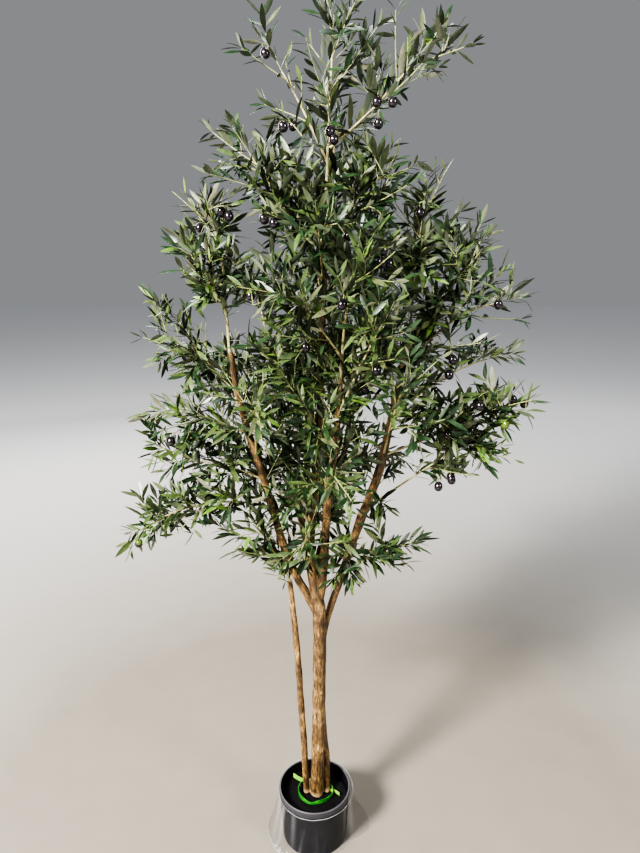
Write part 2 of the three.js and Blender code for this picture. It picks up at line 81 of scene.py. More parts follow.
def edit(thing, operator, times=1, **options):
    # an edit mode operator on the whole mesh, and again on what it leaves selected
    pick(thing)
    bpy.ops.object.mode_set(mode="EDIT")
    bpy.ops.mesh.select_all(action="SELECT")
    for _ in range(times):
        getattr(bpy.ops.mesh, operator)(**options)
    bpy.ops.object.mode_set(mode="OBJECT")


def faceOutwards(thing):
    edit(thing, "normals_make_consistent", inside=False)


def spotsOf(thing, key="co"):
    values = np.empty(len(thing.data.vertices) * 3)
    thing.data.vertices.foreach_get(key, values)
    return values.reshape(-1, 3)


def moveSpots(thing, spots):
    thing.data.vertices.foreach_set("co", np.asarray(spots, dtype=float).ravel())
    thing.data.update()


def moveEach(thing, rule):
    # the rule gives a vertex's new place for its old one, both in mm
    moveSpots(thing, np.array([rule(*spot) for spot in spotsOf(thing) / mm]) * mm)


def store(thing, name, kind, values):
    attribute = thing.data.attributes.new(name, kind, "POINT")
    attribute.data.foreach_set("value" if kind == "FLOAT" else "vector", np.ravel(values))


def joined(name, *things):
    pick(things[0])
    for thing in things:
        thing.select_set(True)
    bpy.ops.object.join()
    things[0].name = things[0].data.name = name
    return things[0]


def settle(thing):
    # puts a thing's place and size into its mesh
    pick(thing)
    bpy.ops.object.transform_apply(location=True, rotation=True, scale=True)


def finishPiece(piece, nodes, looks, smoothAngle):
    for look in looks:
        piece.data.materials.append(look)
    pick(piece)
    bpy.ops.object.shade_smooth_by_angle(angle=math.radians(smoothAngle))
    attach(piece, "root")
    if nodes:
        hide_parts(*nodes)
    print("  made", piece.name, len(piece.data.polygons), "faces")


class Heap:
    # small shapes gathered into one mesh, each face with the number of its look
    def __init__(self):
        self.spots, self.faces, self.looks = [], [], []

    def add(self, spots, faces, looks):
        first = len(self.spots)
        self.spots += [tuple(spot) for spot in spots]
        self.faces += [[first + i for i in face] for face in faces]
        self.looks += looks

    def piece(self, name):
        thing = meshFrom(name, self.spots, [], self.faces)
        thing.data.polygons.foreach_set("material_index", self.looks)
        return thing


def columns(rows, *keys):
    # a table's rows as one array for each key
    return {key: np.array(column) for key, column in zip(keys, zip(*rows))}


def bell(value, width):
    return np.exp(-((value / width) ** 2))


def noiseAt(x, y, z):
    return noise.noise(Vector((x, y, z)))


# Shader maths is written as sums on a node's output.
class Sum:
    def __init__(self, board, socket):
        self.board, self.socket = board, socket

    def math(self, operation, *terms):
        return self.board.add("Math", {"operation": operation}, dict(enumerate(terms)))

    def __add__(self, other):
        return self.math("ADD", self, other)

    def __sub__(self, other):
        return self.math("SUBTRACT", self, other)

    def __rsub__(self, other):
        return self.math("SUBTRACT", other, self)

    def __mul__(self, other):
        return self.math("MULTIPLY", self, other)

    def __pow__(self, other):
        return self.math("POWER", self, other)

    __radd__ = __add__
    __rmul__ = __mul__


class Board:
    # a material and its nodes
    def __init__(self, name):
        self.material = bpy.data.materials.new(name)
        self.material.use_nodes = True
        self.tree = self.material.node_tree
        self.surface = self.tree.nodes["Principled BSDF"]
        self.output = self.tree.nodes["Material Output"]

    def add(self, kind, settings=None, inputs=None, output=0):
        node = self.tree.nodes.new("ShaderNode" + kind)
        for key, value in (settings or {}).items():
            if key == "stops":
                self.setStops(node.color_ramp.elements, value)
            else:
                setattr(node, key, value)
        self.feed(node, inputs or {})
        return Sum(self, node.outputs[output])

    def setStops(self, elements, stops):
        while len(elements) < len(stops):
            elements.new(1)
        for element, (place, colour) in zip(elements, stops):
            element.position = place
            element.color = (*colour, 1)

    def feed(self, node, inputs):
        for key, value in inputs.items():
            socket = node.inputs[key]
            if isinstance(value, Sum):
                self.tree.links.new(value.socket, socket)
            elif socket.type == "RGBA" and len(value) == 3:
                socket.default_value = (*value, 1)
            else:
                socket.default_value = value

    def coat(self, **inputs):
        # settings of the surface, written as baseColor=..., roughness=...
        names = {
            "baseColor": "Base Color",
            "specular": "Specular IOR Level",
            "subsurface": "Subsurface Weight",
            "coatWeight": "Coat Weight",
            "coatRoughness": "Coat Roughness",
        }
        self.feed(self.surface, {names.get(key, key.capitalize()): value for key, value in inputs.items()})

    def stretched(self, vector, scale):
        return self.add("Mapping", inputs={"Vector": vector, "Scale": scale})

    def place(self, scale=(1, 1, 1)):
        return self.stretched(self.add("TexCoord", output="Object"), scale)

    def stored(self, name, output):
        return self.add("Attribute", {"attribute_name": name}, output=output)

    def lengthOf(self, vector):
        return self.add("VectorMath", {"operation": "LENGTH"}, {0: vector}, "Value")

    def noise(self, vector, scale, detail=4, roughness=0.55):
        inputs = {"Vector": vector, "Scale": scale, "Detail": detail, "Roughness": roughness}
        return self.add("TexNoise", inputs=inputs)

    def ramp(self, factor, *stops):
        return self.add("ValToRGB", {"stops": stops}, {"Fac": factor})

    def fade(self, factor, low, high, start=0, end=1):
        # a grey that goes from start to end while the factor goes from low to high
        return self.ramp(factor, (low, (start,) * 3), (high, (end,) * 3))

    def fadeUp(self, low, high, start=0, end=1):
        # the same between two heights in mm, for what is less than 200 mm up
        level = self.add("SeparateXYZ", inputs={"Vector": self.place()}, output="Z")
        return self.fade(level * 5, low / 200, high / 200, start, end)

    def mix(self, factor, first, second):
        return self.add("Mix", {"data_type": "RGBA"}, {0: factor, 6: first, 7: second}, 2)

    def bump(self, height, distance, strength=1):
        inputs = {"Height": height, "Distance": distance, "Strength": strength}
        return self.add("Bump", inputs=inputs)


def mottledLook(name, shades, patches, stretch=(1, 1, 1), edges=None, grain=None, roughness=0, spread=0,
                bump=None, **surface):
    # two shades in patches, with the roughness and the relief of a grain, or else of the patches
    board = Board(name)
    place = board.place(stretch)
    mottle = board.noise(place, *patches)
    rough = board.noise(place, *grain) if grain else mottle
    board.coat(baseColor=board.mix(board.fade(mottle, *edges) if edges else mottle, *shades), **surface)
    board.coat(roughness=spread * rough + roughness if spread else roughness)
    if bump:
        board.coat(normal=board.bump(rough, *bump))
    return board.material


# The limbs: x, y, z and radius at each waypoint.
limbs = {
    "main_stem": [
        (6, 0, 127.3, 18), (12, 0, 420, 17.5), (13, 0, 700, 18), (-10, 4, 880, 12), (10, 10, 1110, 10),
        (19, 6, 1390, 8), (26, 0, 1600, 6), (32, 0, 1830, 3.2),
    ],
    "right_stem": [
        (34, 9, 127.3, 10.5), (32, 22, 230, 10), (23, 28, 340, 9.8), (18, 30, 470, 9.5), (26, 29, 630, 9.5),
        (68, 16, 790, 10), (109, 10, 935, 11.5), (159, 4, 1083, 11), (194, 0, 1270, 8.5), (219, 0, 1400, 5),
    ],
    "left_stem": [
        (-22, 6, 127.3, 9.5), (-34, 4, 380, 9), (-48, 2, 620, 8.5), (-63, 0, 795, 7),
    ],
    "left_bough": [
        (12, 0, 690, 12), (-67, -4, 863, 10), (-123, -10, 1075, 9.5), (-174, -12, 1261, 8),
        (-192, -7, 1375, 6.8), (-196, -6, 1402, 4), (-205, 0, 1600, 3),
    ],
    "middle_bough": [
        (14, 0, 730, 12), (26, -16, 860, 11), (34, -45, 1050, 10), (53, -65, 1198, 8), (67, -84, 1440, 3.5),
    ],
    "back_left_bough": [
        (4, 6, 750, 11), (-28, 62, 910, 10), (-78, 135, 1100, 8), (-121, 195, 1380, 4),
    ],
    "back_right_bough": [
        (0, 2, 800, 11), (36, 60, 940, 9.5), (82, 125, 1120, 8), (122, 185, 1400, 4),
    ],
}

# Each limb's sprays: the height at which one leaves the limb, its tip, how far its middle is lifted, its
# twigs and, where they aren't the usual ones, its bare share, its twigs' spread, its olives, its share of
# young leaves and its small twigs between those of the rule.
sprays = {
    "main_stem": {
        "crown_tip": (1830, (46, 0, 2122), 0, 5, {"filler": 1}),
        "crown_right": (1822, (294, -40, 2068), -20, 5, {"fruit": 2, "young": 0.04}),
        "crown_left": (1795, (-114, 30, 2070), 15, 5, {"spread": 0.65, "fruit": 2, "filler": 0}),
        "crown_back": (1700, (70, 180, 1980), 20, 4, {"fruit": 1}),
        "upper_left": (1560, (-188, -40, 1895), 10, 6, {"spread": 1.1, "fruit": 2, "filler": 5}),
        "upper_right": (1600, (189, -50, 1855), 0, 6, {"fruit": 1, "filler": 5}),
        "upper_front": (1520, (4, -220, 1740), 20, 6, {"fruit": 2}),
        "upper_back": (1450, (-26, 260, 1780), 40, 5, {"fruit": 1}),
        "core_right": (1290, (124, -50, 1500), 10, 5, {}),
        "core_back": (1250, (-26, 170, 1480), 10, 4, {}),
        "core_left": (1180, (-96, -90, 1400), 10, 5, {"fruit": 1}),
        "core_low": (930, (-66, -110, 1130), 10, 5, {}),
        "skirt_front": (880, (-26, -170, 1040), 10, 5, {"spread": 0.8}),
        "skirt_back": (900, (14, 250, 1010), 30, 5, {}),
    },
    "left_bough": {
        "left_crest": (1600, (-234, 0, 1755), 0, 5, {"fruit": 2, "young": 0.1}),
        "left_shoulder": (1470, (-276, -65, 1645), 10, 5, {"fruit": 1, "young": 0.12, "filler": 5}),
        "left_wing": (1290, (-368, 30, 1500), -15, 5, {"fruit": 1, "filler": 3}),
        "left_arm": (1185, (-381, -70, 1285), 15, 5, {"fruit": 2, "filler": 5}),
        "left_low": (1070, (-436, 60, 1120), 30, 5, {"spread": 0.85, "young": 0.06}),
        "left_sprig": (998, (-488, -60, 972), 60, 6, {"spread": 0.55, "fruit": 1, "young": 0.05}),
        "left_front": (1130, (-116, -270, 1380), 20, 5, {}),
    },
    "right_stem": {
        "right_crest": (1374, (389, -10, 1705), 0, 6, {"fruit": 1, "filler": 8}),
        "right_upper": (1400, (254, 20, 1808), 0, 6, {"fruit": 1, "young": 0.1, "filler": 5}),
        "right_wing": (1338, (482, -50, 1562), 60, 5, {"fruit": 2, "filler": 8}),
        "right_arm": (1225, (506, 60, 1412), 40, 5, {"fruit": 2, "filler": 5}),
        "right_hand": (1130, (521, -60, 1312), -10, 5, {"fruit": 3, "young": 0.06, "filler": 8}),
        "right_low": (985, (472, -50, 1254), 10, 6, {"bare": 0.45, "fruit": 2, "young": 0.05, "filler": 7}),
        "right_sprig": (845, (259, -90, 960), 15, 6, {"bare": 0.05, "spread": 0.5}),
        "right_front": (1130, (189, -260, 1400), 20, 5, {"fruit": 1}),
    },
    "middle_bough": {
        "middle_crest": (1440, (99, -190, 1690), 10, 6, {"fruit": 1, "filler": 4}),
        "middle_left": (1380, (-106, -150, 1610), 10, 6, {"fruit": 2}),
        "middle_right": (1250, (174, -220, 1550), 10, 5, {"fruit": 1, "filler": 4}),
        "core_front": (1130, (-36, -190, 1350), 10, 5, {}),
        "middle_low": (1050, (34, -270, 1230), 20, 5, {}),
    },
    "left_stem": {
        "skirt_left": (795, (-178, -50, 1045), 10, 5, {"spread": 0.65}),
    },
    "back_left_bough": {
        "back_left_crest": (1380, (-186, 320, 1620), 10, 4, {"fruit": 1}),
        "back_left_wing": (1230, (-331, 260, 1400), 30, 5, {"fruit": 1}),
        "back_left_low": (1000, (-236, 290, 1090), 30, 4, {}),
        "back_middle": (1120, (-26, 330, 1340), 30, 4, {"fruit": 1}),
    },
    "back_right_bough": {
        "back_right_crest": (1400, (204, 300, 1630), 10, 4, {"fruit": 1}),
        "back_right_wing": (1260, (369, 250, 1450), 30, 5, {"fruit": 2}),
        "back_right_low": (1030, (264, 280, 1130), 30, 4, {}),
    },
}


def stepOf(path, t):
    last = len(path) - 1
    step = min(int(t * last), last - 1)
    return step, t * last - step


def limbPoint(path, t):
    # uniform Catmull-Rom through the waypoints
    step, weight = stepOf(path, t)
    spots = [Vector(row[:3]) for row in path]
    here, there = spots[step], spots[step + 1]
    before = spots[step - 1] if step > 0 else 2 * here - there
    after = spots[step + 2] if step + 2 < len(spots) else 2 * there - here
    leave = (there - before) / 2
    arrive = (after - here) / 2
    bend = 3 * (there - here) - 2 * leave - arrive
    turnBack = 2 * (here - there) + leave + arrive
    return here + leave * weight + bend * weight**2 + turnBack * weight**3


def limbRadius(path, t):
    step, weight = stepOf(path, t)
    return path[step][3] * (1 - weight) + path[step + 1][3] * weight


def pointAtHeight(path, height):
    low, high = 0, 1
    for _ in range(30):
        middle = (low + high) / 2
        if limbPoint(path, middle).z < height:
            low = middle
        else:
            high = middle
    return limbPoint(path, high)


# The limbs as short straight runs, for distances and for the bark's pattern.
runsPerLimb = 60
rows = []
for number, path in enumerate(limbs.values()):
    spots = [limbPoint(path, i / runsPerLimb) for i in range(runsPerLimb + 1)]
    way = 1000 * number  # each limb has its own stretch of the bark's pattern
    for i, (start, end) in enumerate(zip(spots, spots[1:])):
        rows.append((start, end, limbRadius(path, (i + 0.5) / runsPerLimb), way))
        way += (end - start).length
limbRuns = columns(rows, "start", "end", "radius", "way")


def distancesTo(runs, point):
    starts = runs["start"]
    along = runs["end"] - starts
    shares = np.clip(((point - starts) * along).sum(1) / (along * along).sum(1), 0, 1)
    return np.linalg.norm(starts + along * shares[:, None] - point, axis=1)


def clearOfLimbs(point, margin):
    return bool((distancesTo(limbRuns, np.array(point)) > limbRuns["radius"] + margin).all())


# Bark: the limbs as one mesh, with grain, swellings and knots.
bark = {
    "voxel": 2.4,
    "footLevel": 127.3,
    "smooth": 2,
    "swell": 1.5,
    "swellSize": (22, 45),  # across and along the limb
    "ridge": 0.55,
    "ridgeSize": (5, 60),
    "fineRidge": 0.3,  # of the ridges' height
    "fineSize": (2.6, 16),
    "knots": {"main_stem": 15, "right_stem": 9, "left_stem": 7, "left_bough": 7, "middle_bough": 4},
    "knotsElsewhere": 3,
    "knotsAt": (0.1, 0.8),  # of the way along a limb
    "knotSize": 5,
    "knotRise": 1.3,
    "knotHole": 2.4,
    "holeNarrower": 2.2,  # than the knot
    "stainNarrower": 1.5,
    "grooveWidth": 2.4,
    "grooveDepth": 1.2,
    "fullReliefAt": 10,  # the radius from which the relief isn't lessened
    "leastRelief": 0.25,
    "steadyFoot": 50,  # the height over which the relief sets in
    "tones": [
        (0.37, (0.026, 0.015, 0.007)),
        (0.44, (0.060, 0.034, 0.014)),
        (0.505, (0.132, 0.076, 0.030)),
        (0.57, (0.30, 0.178, 0.064)),
        (0.65, (0.80, 0.58, 0.27)),
    ],
    "crack": (0.022, 0.012, 0.006),
    # of the knots, and painted shade in the creases where two limbs meet
    "knot": (0.028, 0.012, 0.006),
    "shoot": [(0.20, 0.17, 0.07), (0.46, 0.40, 0.21)],
    "sawn": [(0.26, 0.155, 0.075), (0.50, 0.34, 0.19)],
    "sawnHeight": (4, 18),  # above the foot, where the fresh wood of the cut fades
}


def limbTube(name, path):
    curve = bpy.data.curves.new(name, "CURVE")
    curve.dimensions = "3D"
    curve.bevel_depth = mm
    curve.bevel_resolution = 6
    curve.use_fill_caps = True
    spline = curve.splines.new("POLY")
    spline.points.add(runsPerLimb)
    for i, point in enumerate(spline.points):
        point.co = (*(limbPoint(path, i / runsPerLimb) * mm), 1)
        point.radius = limbRadius(path, i / runsPerLimb)
    tube = linked(name, curve)
    pick(tube)
    bpy.ops.object.convert(target="MESH")
    edit(tube, "remove_doubles", threshold=1e-5)
    return tube


def nearestRuns(spots):
    # for each spot in mm: where it lies across its limb, the distance along it, and the gap to the next limb
    starts = limbRuns["start"]
    runs = limbRuns["end"] - starts
    lengths = np.linalg.norm(runs, axis=1)
    tangents = runs / lengths[:, None]
    across = np.array([1.0, 0, 0]) - tangents * tangents[:, :1]
    across /= np.linalg.norm(across, axis=1)[:, None]
    beside = np.cross(tangents, across)
    patterns, gaps = [], []
    for chunk in np.array_split(spots, max(1, len(spots) // 2000)):
        offsets = chunk[:, None, :] - starts[None]
        shares = np.clip((offsets * tangents).sum(2) / lengths, 0, 1)
        offsets = offsets - runs[None] * shares[..., None]
        away = np.linalg.norm(offsets, axis=2)
        best = (away / limbRuns["radius"]).argmin(1)
        perLimb = (away - limbRuns["radius"]).reshape(len(chunk), len(limbs), runsPerLimb).min(2)
        gaps.append(np.sort(perLimb, axis=1)[:, 1])
        nearest = np.arange(len(chunk)), best
        offset = offsets[nearest]
        way = limbRuns["way"][best] + shares[nearest] * lengths[best]
        patterns.append(np.stack([(offset * across[best]).sum(1), (offset * beside[best]).sum(1), way], 1))
    return np.concatenate(patterns), np.concatenate(gaps)


def knotSpots():
    # places on the limbs' surface, each in mm
    dice = random.Random(11)
    spots = []
    for name, path in limbs.items():
        for _ in range(bark["knots"].get(name, bark["knotsElsewhere"])):
            t = dice.uniform(*bark["knotsAt"])
            turn = dice.uniform(0, fullTurn)
            out = Vector((math.cos(turn), math.sin(turn), 0))
            spots.append(limbPoint(path, t) + out * limbRadius(path, t))
    return np.array(spots)


def reliefAt(u, v, way):
    # swellings are long and slow, ridges run along the limb, all in mm
    def rough(key, shift=0):
        across, along = bark[key]
        return noiseAt(u / across, v / across, way / along + shift)

    ridges = 1 - 2 * abs(rough("ridgeSize"))
    relief = bark["swell"] * rough("swellSize", 5.4) + bark["ridge"] * (ridges - 0.5)
    return relief + bark["fineRidge"] * bark["ridge"] * rough("fineSize")


def makeBark():
    piece = joined("bark", *[limbTube(name + "_bark", path) for name, path in limbs.items()])
    applyModifier(piece, "REMESH", mode="VOXEL", voxel_size=bark["voxel"] * mm)
    applyModifier(piece, "SMOOTH", factor=0.5, iterations=bark["smooth"])
    foot = (0, 0, bark["footLevel"] * mm)
    edit(piece, "bisect", plane_co=foot, plane_no=up, clear_inner=True, use_fill=True)
    spots = spotsOf(piece) / mm
    patterns, gaps = nearestRuns(spots)
    relief = np.array([reliefAt(*pattern) for pattern in patterns])
    knots = np.zeros(len(spots))
    size = bark["knotSize"]
    for knot in knotSpots():
        away = np.linalg.norm(spots - knot, axis=1)
        relief += bark["knotRise"] * bell(away, size)
        relief -= bark["knotHole"] * bell(away, size / bark["holeNarrower"])
        knots = np.maximum(knots, bell(away, size / bark["stainNarrower"]))
    grooves = bell(np.maximum(gaps, 0), bark["grooveWidth"])  # where two limbs meet, cut in and darkened as painted shade in the crease
    relief -= bark["grooveDepth"] * grooves
    radii = np.linalg.norm(patterns[:, :2], axis=1)
    relief *= np.clip(radii / bark["fullReliefAt"], bark["leastRelief"], 1)
    relief *= np.clip((spots[:, 2] - bark["footLevel"]) / bark["steadyFoot"], 0, 1)
    moveSpots(piece, (spots + spotsOf(piece, "normal") * relief[:, None]) * mm)
    store(piece, "barkPlace", "FLOAT_VECTOR", patterns * mm)
    # knots as dark stains, and the creases where limbs meet darkened as painted shade
    store(piece, "barkKnot", "FLOAT", np.maximum(knots, 0.8 * grooves))
    finishPiece(piece, list(limbs), [barkLook()], 60)


def barkLook():
    board = Board("barkGolden")
    place = board.stored("barkPlace", "Vector")
    # dark on the knots, and painted shade in the creases between limbs
    knot = board.stored("barkKnot", "Fac")
    along = board.stretched(place, (1, 1, 0.24))
    streaks = board.noise(along, 210, 6, 0.66)
    lines = board.noise(along, 560, 3, 0.6)
    mottle = board.noise(board.stretched(place, (1, 1, 0.34)), 60, 6, 0.68)
    sway = board.noise(board.stretched(place, (0.4, 0.4, 1)), 14, 3)  # from stretch to stretch
    wood = board.ramp(streaks * 0.4 + lines * 0.2 + mottle * 0.35 + sway * 0.3 - 0.13, *bark["tones"])
    cracks = board.fade(board.noise(board.stretched(place, (1, 1, 0.07)), 300, 2), 0.35, 0.41, 1, 0)
    cracked = board.mix(cracks * 0.85, wood, bark["crack"])
    flat = board.add("VectorMath", {"operation": "MULTIPLY"}, {0: place, 1: (1, 1, 0)})
    thin = board.fade(board.lengthOf(flat) * 100, 0.42, 0.6, 1, 0)  # on limbs of less than 6 mm in radius
    low, high = (bark["footLevel"] + rise for rise in bark["sawnHeight"])
    dry = board.mix(thin, cracked, board.mix(mottle, *bark["shoot"]))
    dry = board.mix(board.fadeUp(low, high, 1, 0), dry, board.mix(mottle, *bark["sawn"]))
    normal = board.bump(streaks * 0.6 + lines * 0.4, 0.0012, 0.7)
    board.coat(baseColor=board.mix(knot, dry, bark["knot"]), roughness=0.62 - 0.3 * mottle, normal=normal)
    return board.material


makeBark()


# Growth: the part's rule, carried to finer twigs and to leaves of life size.
growth = {
    "goldenAngle": 2.39996,
    "twigStagger": 0.4,
    "turnJitter": 0.6,
    "leanJitter": 0.15,
    "lengthJitter": 0.18,
    "leafJitter": 0.15,
    "twigLength": 110,
    "twigShrink": 0.45,
    "twigLean": 0.85,
    "uplift": 0.15,
    "leafLean": 0.75,
    "pairAt": 0.55,
    "stemPairAt": 0.86,
    "oliveAt": 0.8,
    "twigCuts": [1, 0.7, 0.45],
    "leafLength": 105,  # of the part's large leaves, in whose place a fine twig grows
    "fineTwig": 0.6,  # of such a leaf's length
    "stemLines": 4,
    "margin": 3,
    "seed": 7919,
    "perSpray": 100,
    "multiplier": 1664525,
    "increment": 1013904223,
    "range": 2**32,
}
usualSpray = {"bare": 0.22, "spread": 1, "fruit": 0, "young": 0.02, "filler": 2}
leaf = {
    "length": 61,
    "width": 12.5,
    "thick": 0.5,
    "fold": 0.2,  # how far the edges rise, of the half width
    "stations": [(0, 0), (0.1, 0.2), (0.28, 0.72), (0.5, 1), (0.73, 0.82), (0.9, 0.38), (1, 0)],
    "step": 14,  # between two pairs on a twig
    "stemStep": 18,
    "stepJitter": (0.8, 1.2),
    "pairJitter": 0.3,
    "tuft": (0.15, 0.62, 0.62),  # how far the three leaves at a twig's end spread
    "tuftTurn": 2.1,
    "tuftLean": 0.3,
    "lean": 0.74,
    "leanJitter": 0.35,
    "facingJitter": 0.7,
    "sizeJitter": 0.3,
    "tipSize": 0.75,  # of the leaves by a twig's tip
    "curl": 0.16,
    "curlJitter": (-0.5, 1.5),
    "tipShrink": 0.2,  # how much smaller the leaves by a spray's tip are
    "deep": 0.5,  # up to which shares the deep and the middle tints go
    "mid": 0.9,
    "shadedTopDeepShare": {"crown": 0.78, "upper": 0.66},  # in the sprays so named, raised as painted shade on the crown's backlit top
    "highSprig": 1900,  # sprigs with their tips above this get the crown's share too, as painted shade
    "topRoughness": 0.32,
    "underRoughness": 0.45,
    "surface": {"patches": (55, 3), "edges": (0.35, 0.65), "grain": (260, 2), "spread": 0.2},
}

twigKinds = {
    "stem": {"radii": (3.0, 1.5), "sides": 8, "runs": 14},
    "twig": {"radii": (1.6, 0.9), "sides": 6, "runs": 8},
    "fine": {"radii": (0.95, 0.6), "sides": 5, "runs": 4},
    "shoot": {"radii": (1.2, 0.7), "sides": 5, "runs": 5},
    "hanger": {"radii": (1.2, 0.7), "sides": 5, "runs": 4},
}
twigBend = 0.09

olive = {
    "length": 24,
    "width": 20,
    "stalk": 9,
    "stalkRadius": 0.8,
    "sway": 0.35,
    "taper": 0.16,
    "dimple": 0.06,
    "dimpleWidth": 0.12,
    "blush": 0.12,  # above this share of its length a turning olive is green
    "clear": 12,  # leaves keep this far from it, and from its line to the front view
    "clearAhead": 140,
}

# Where olives hang in front, each from the twig nearest to it.
olivePlaces = {
    "black": [
        (-107, 20, 2012), (34, -30, 1852), (44, -34, 1836), (134, -50, 1905), (135, -50, 1864),
        (-64, -50, 1858), (-199, -60, 1688), (-179, -70, 1680), (-106, -100, 1672), (-86, -100, 1664),
        (228, -40, 1689), (135, -150, 1586), (159, -130, 1584), (404, -60, 1494), (-144, -120, 1304),
        (-324, -80, 1190), (137, -160, 1365), (303, -80, 1377), (300, -80, 1344), (367, -100, 1277),
        (446, -80, 1284), (481, -70, 1273), (295, -70, 1077), (321, -60, 1098),
    ],
    "turning": [
        (147, -140, 1610), (-134, -100, 1518), (-420, -60, 922),
    ],
    "green": [
        (441, -80, 1226),
    ],
}

# Small leafy twigs, given one by one, each from the twig nearest to its tip, where the foliage is fuller.
sprigTips = [
    (96, -20, 820), (-74, -30, 1813), (-86, -40, 1780), (-61, -50, 1759), (-100, -20, 1830),
    (-69, -60, 1730), (-44, -50, 1794), (-89, -110, 1604), (-60, -120, 1580), (-30, -120, 1604),
    (90, -60, 1812), (114, -70, 1818), (131, -60, 1801), (65, -60, 1750), (131, -150, 1639),
    (157, -140, 1623), (107, -160, 1631), (171, -120, 1632), (203, -100, 1620), (235, -80, 1629),
    (292, -40, 1654), (280, -60, 1562), (268, -70, 1494), (306, -50, 1519), (255, -80, 1465),
    (283, -50, 1633), (193, -110, 1502), (176, -120, 1473), (158, -130, 1457), (227, -90, 1580),
    (408, -50, 1566), (437, -50, 1532), (-352, 0, 1485), (-364, 0, 1503), (122, -160, 1469),
    (148, -150, 1459), (267, -80, 1478), (-139, -80, 1417), (-112, -90, 1397), (-77, -100, 1389),
    (245, -60, 1254), (290, -60, 1263), (331, -60, 1268), (375, -50, 1261), (418, -50, 1247),
    (438, -50, 1218), (266, -60, 1277), (308, -60, 1277), (351, -50, 1280), (388, -50, 1275),
    (429, -40, 1254), (403, -60, 1225), (290, -70, 1233), (326, -70, 1238), (-381, -40, 1244),
    (-379, -40, 1201), (-378, -40, 1147), (-264, -40, 1046), (-285, -40, 1025), (-249, -30, 990),
    (-233, -30, 1021), (-206, -20, 1002), (-166, -20, 1017), (-126, -30, 1027), (-241, -30, 964),
    (-259, -30, 995), (-412, -50, 1040), (-374, -50, 1034), (-335, -50, 1029), (-214, -60, 1163),
    (-182, -60, 1138), (153, -60, 1028), (178, -60, 1018), (45, -40, 883), (-102, 20, 2079), (35, 0, 2091),
    (19, 0, 2080), (131, -20, 1983), (143, -20, 1968), (98, -20, 1949), (135, 0, 2059), (86, -120, 1255),
    (68, -120, 1273), (-281, -60, 1633), (-290, -60, 1617), (-183, -60, 1617), (-188, -60, 1600),
    (265, -40, 2032), (277, -40, 2018), (252, -40, 2043), (-246, -60, 1641), (-230, -60, 1612),
    (-214, -60, 1592), (-234, -50, 1662), (-22, -60, 1839), (-64, -60, 1793), (-14, -80, 1786),
    (249, -90, 1559), (209, -90, 1483), (267, -80, 1584), (232, -100, 1530), (324, -60, 1476),
    (302, -60, 1463), (349, -50, 1471), (268, -80, 1373), (185, -110, 1356), (252, -90, 1392),
    (-210, -60, 1263), (-261, -50, 1275), (-281, -50, 1340), (-259, -50, 1317), (-192, -60, 1244),
    (-76, -100, 1450), (-98, -90, 1436), (-152, -60, 1028), (-129, -60, 997), (-172, -50, 1050),
    (-89, -60, 1059), (391, -60, 1329), (411, -60, 1235), (432, -50, 1237), (359, -50, 1145),
    (140, -60, 987), (252, -60, 935), (-450, -50, 914), (-56, -20, 845), (-85, -30, 861), (-27, -30, 867),
    (-96, -20, 834), (-5, -30, 878), (50, -40, 822), (95, -40, 817), (-133, -40, 883), (253, -60, 1770),
]

seenFrom = np.array([15, -1490, 1600])  # the front view's place

# Openings in the crown, as seen from there, by the share of the leaves that is left out: the middle's x and
# z, half its width and half its height.
openings = {
    0.4: [
        (-7, 1785, 20, 23),
    ],
    0.45: [
        (-145, 1809, 52, 33),
    ],
    0.5: [
        (203, 1702, 35, 29), (-267, 1709, 44, 29), (71, 1861, 21, 19), (-16, 2080, 16, 27),
        (226, 2003, 29, 32), (-40, 940, 25, 60), (-114, 1849, 21, 23),
    ],
    0.55: [
        (11, 2066, 21, 36), (176, 1781, 33, 33),
    ],
    0.6: [
        (-106, 2011, 25, 36), (176, 2069, 29, 49), (139, 1235, 29, 36), (253, 1139, 39, 32),
        (-166, 1702, 26, 33), (-308, 1444, 42, 40), (-397, 1430, 23, 50), (-238, 1369, 33, 35),
        (-317, 1210, 34, 36), (-354, 1144, 34, 26), (-312, 934, 50, 27), (-179, 926, 50, 38),
        (-114, 1144, 22, 31), (136, 1175, 22, 31), (48, 1984, 19, 45), (103, 1973, 19, 27),
        (6, 1827, 34, 21),
    ],
    0.7: [
        (209, 1939, 42, 32), (-160, 1457, 32, 35), (-309, 1587, 18, 39), (-107, 1973, 27, 27),
        (-279, 1740, 20, 28), (-175, 1707, 26, 43), (322, 1407, 51, 23), (484, 1298, 33, 26),
        (158, 829, 41, 22),
    ],
    0.75: [
        (-53, 1942, 51, 59), (189, 1170, 39, 37), (-8, 1999, 38, 54), (152, 2025, 33, 72),
        (-295, 1561, 23, 39),
    ],
    0.8: [
        (225, 807, 62, 30), (-344, 904, 61, 35), (-305, 1740, 18, 33), (154, 1009, 45, 27),
        (222, 1057, 44, 24), (298, 1781, 22, 42), (-394, 1534, 23, 29), (-421, 1230, 22, 21),
        (313, 1298, 33, 23), (507, 1129, 29, 26), (360, 1052, 30, 27), (278, 2073, 29, 36),
    ],
    0.85: [
        (-230, 1448, 32, 55), (178, 942, 75, 35), (394, 1067, 59, 32),
    ],
    0.9: [
        (361, 1457, 78, 40), (396, 1331, 75, 36), (313, 1973, 34, 36), (-318, 1748, 26, 33),
        (449, 1444, 37, 45),
    ],
    0.95: [
        (-148, 803, 58, 54),
    ],
}
bareOpening = 0.65  # in an opening of a greater share the fine twigs are left out too

# Up to these heights the limbs show in front, and a share of the leaves before them is left out.
shownUpTo = {
    "main_stem": 1560,
    "left_bough": 1380,
    "right_stem": 1290,
    "left_stem": 790,
    "middle_bough": 1410,
}
beforeLimb = {"share": 0.6, "beside": 7, "steps": 150}

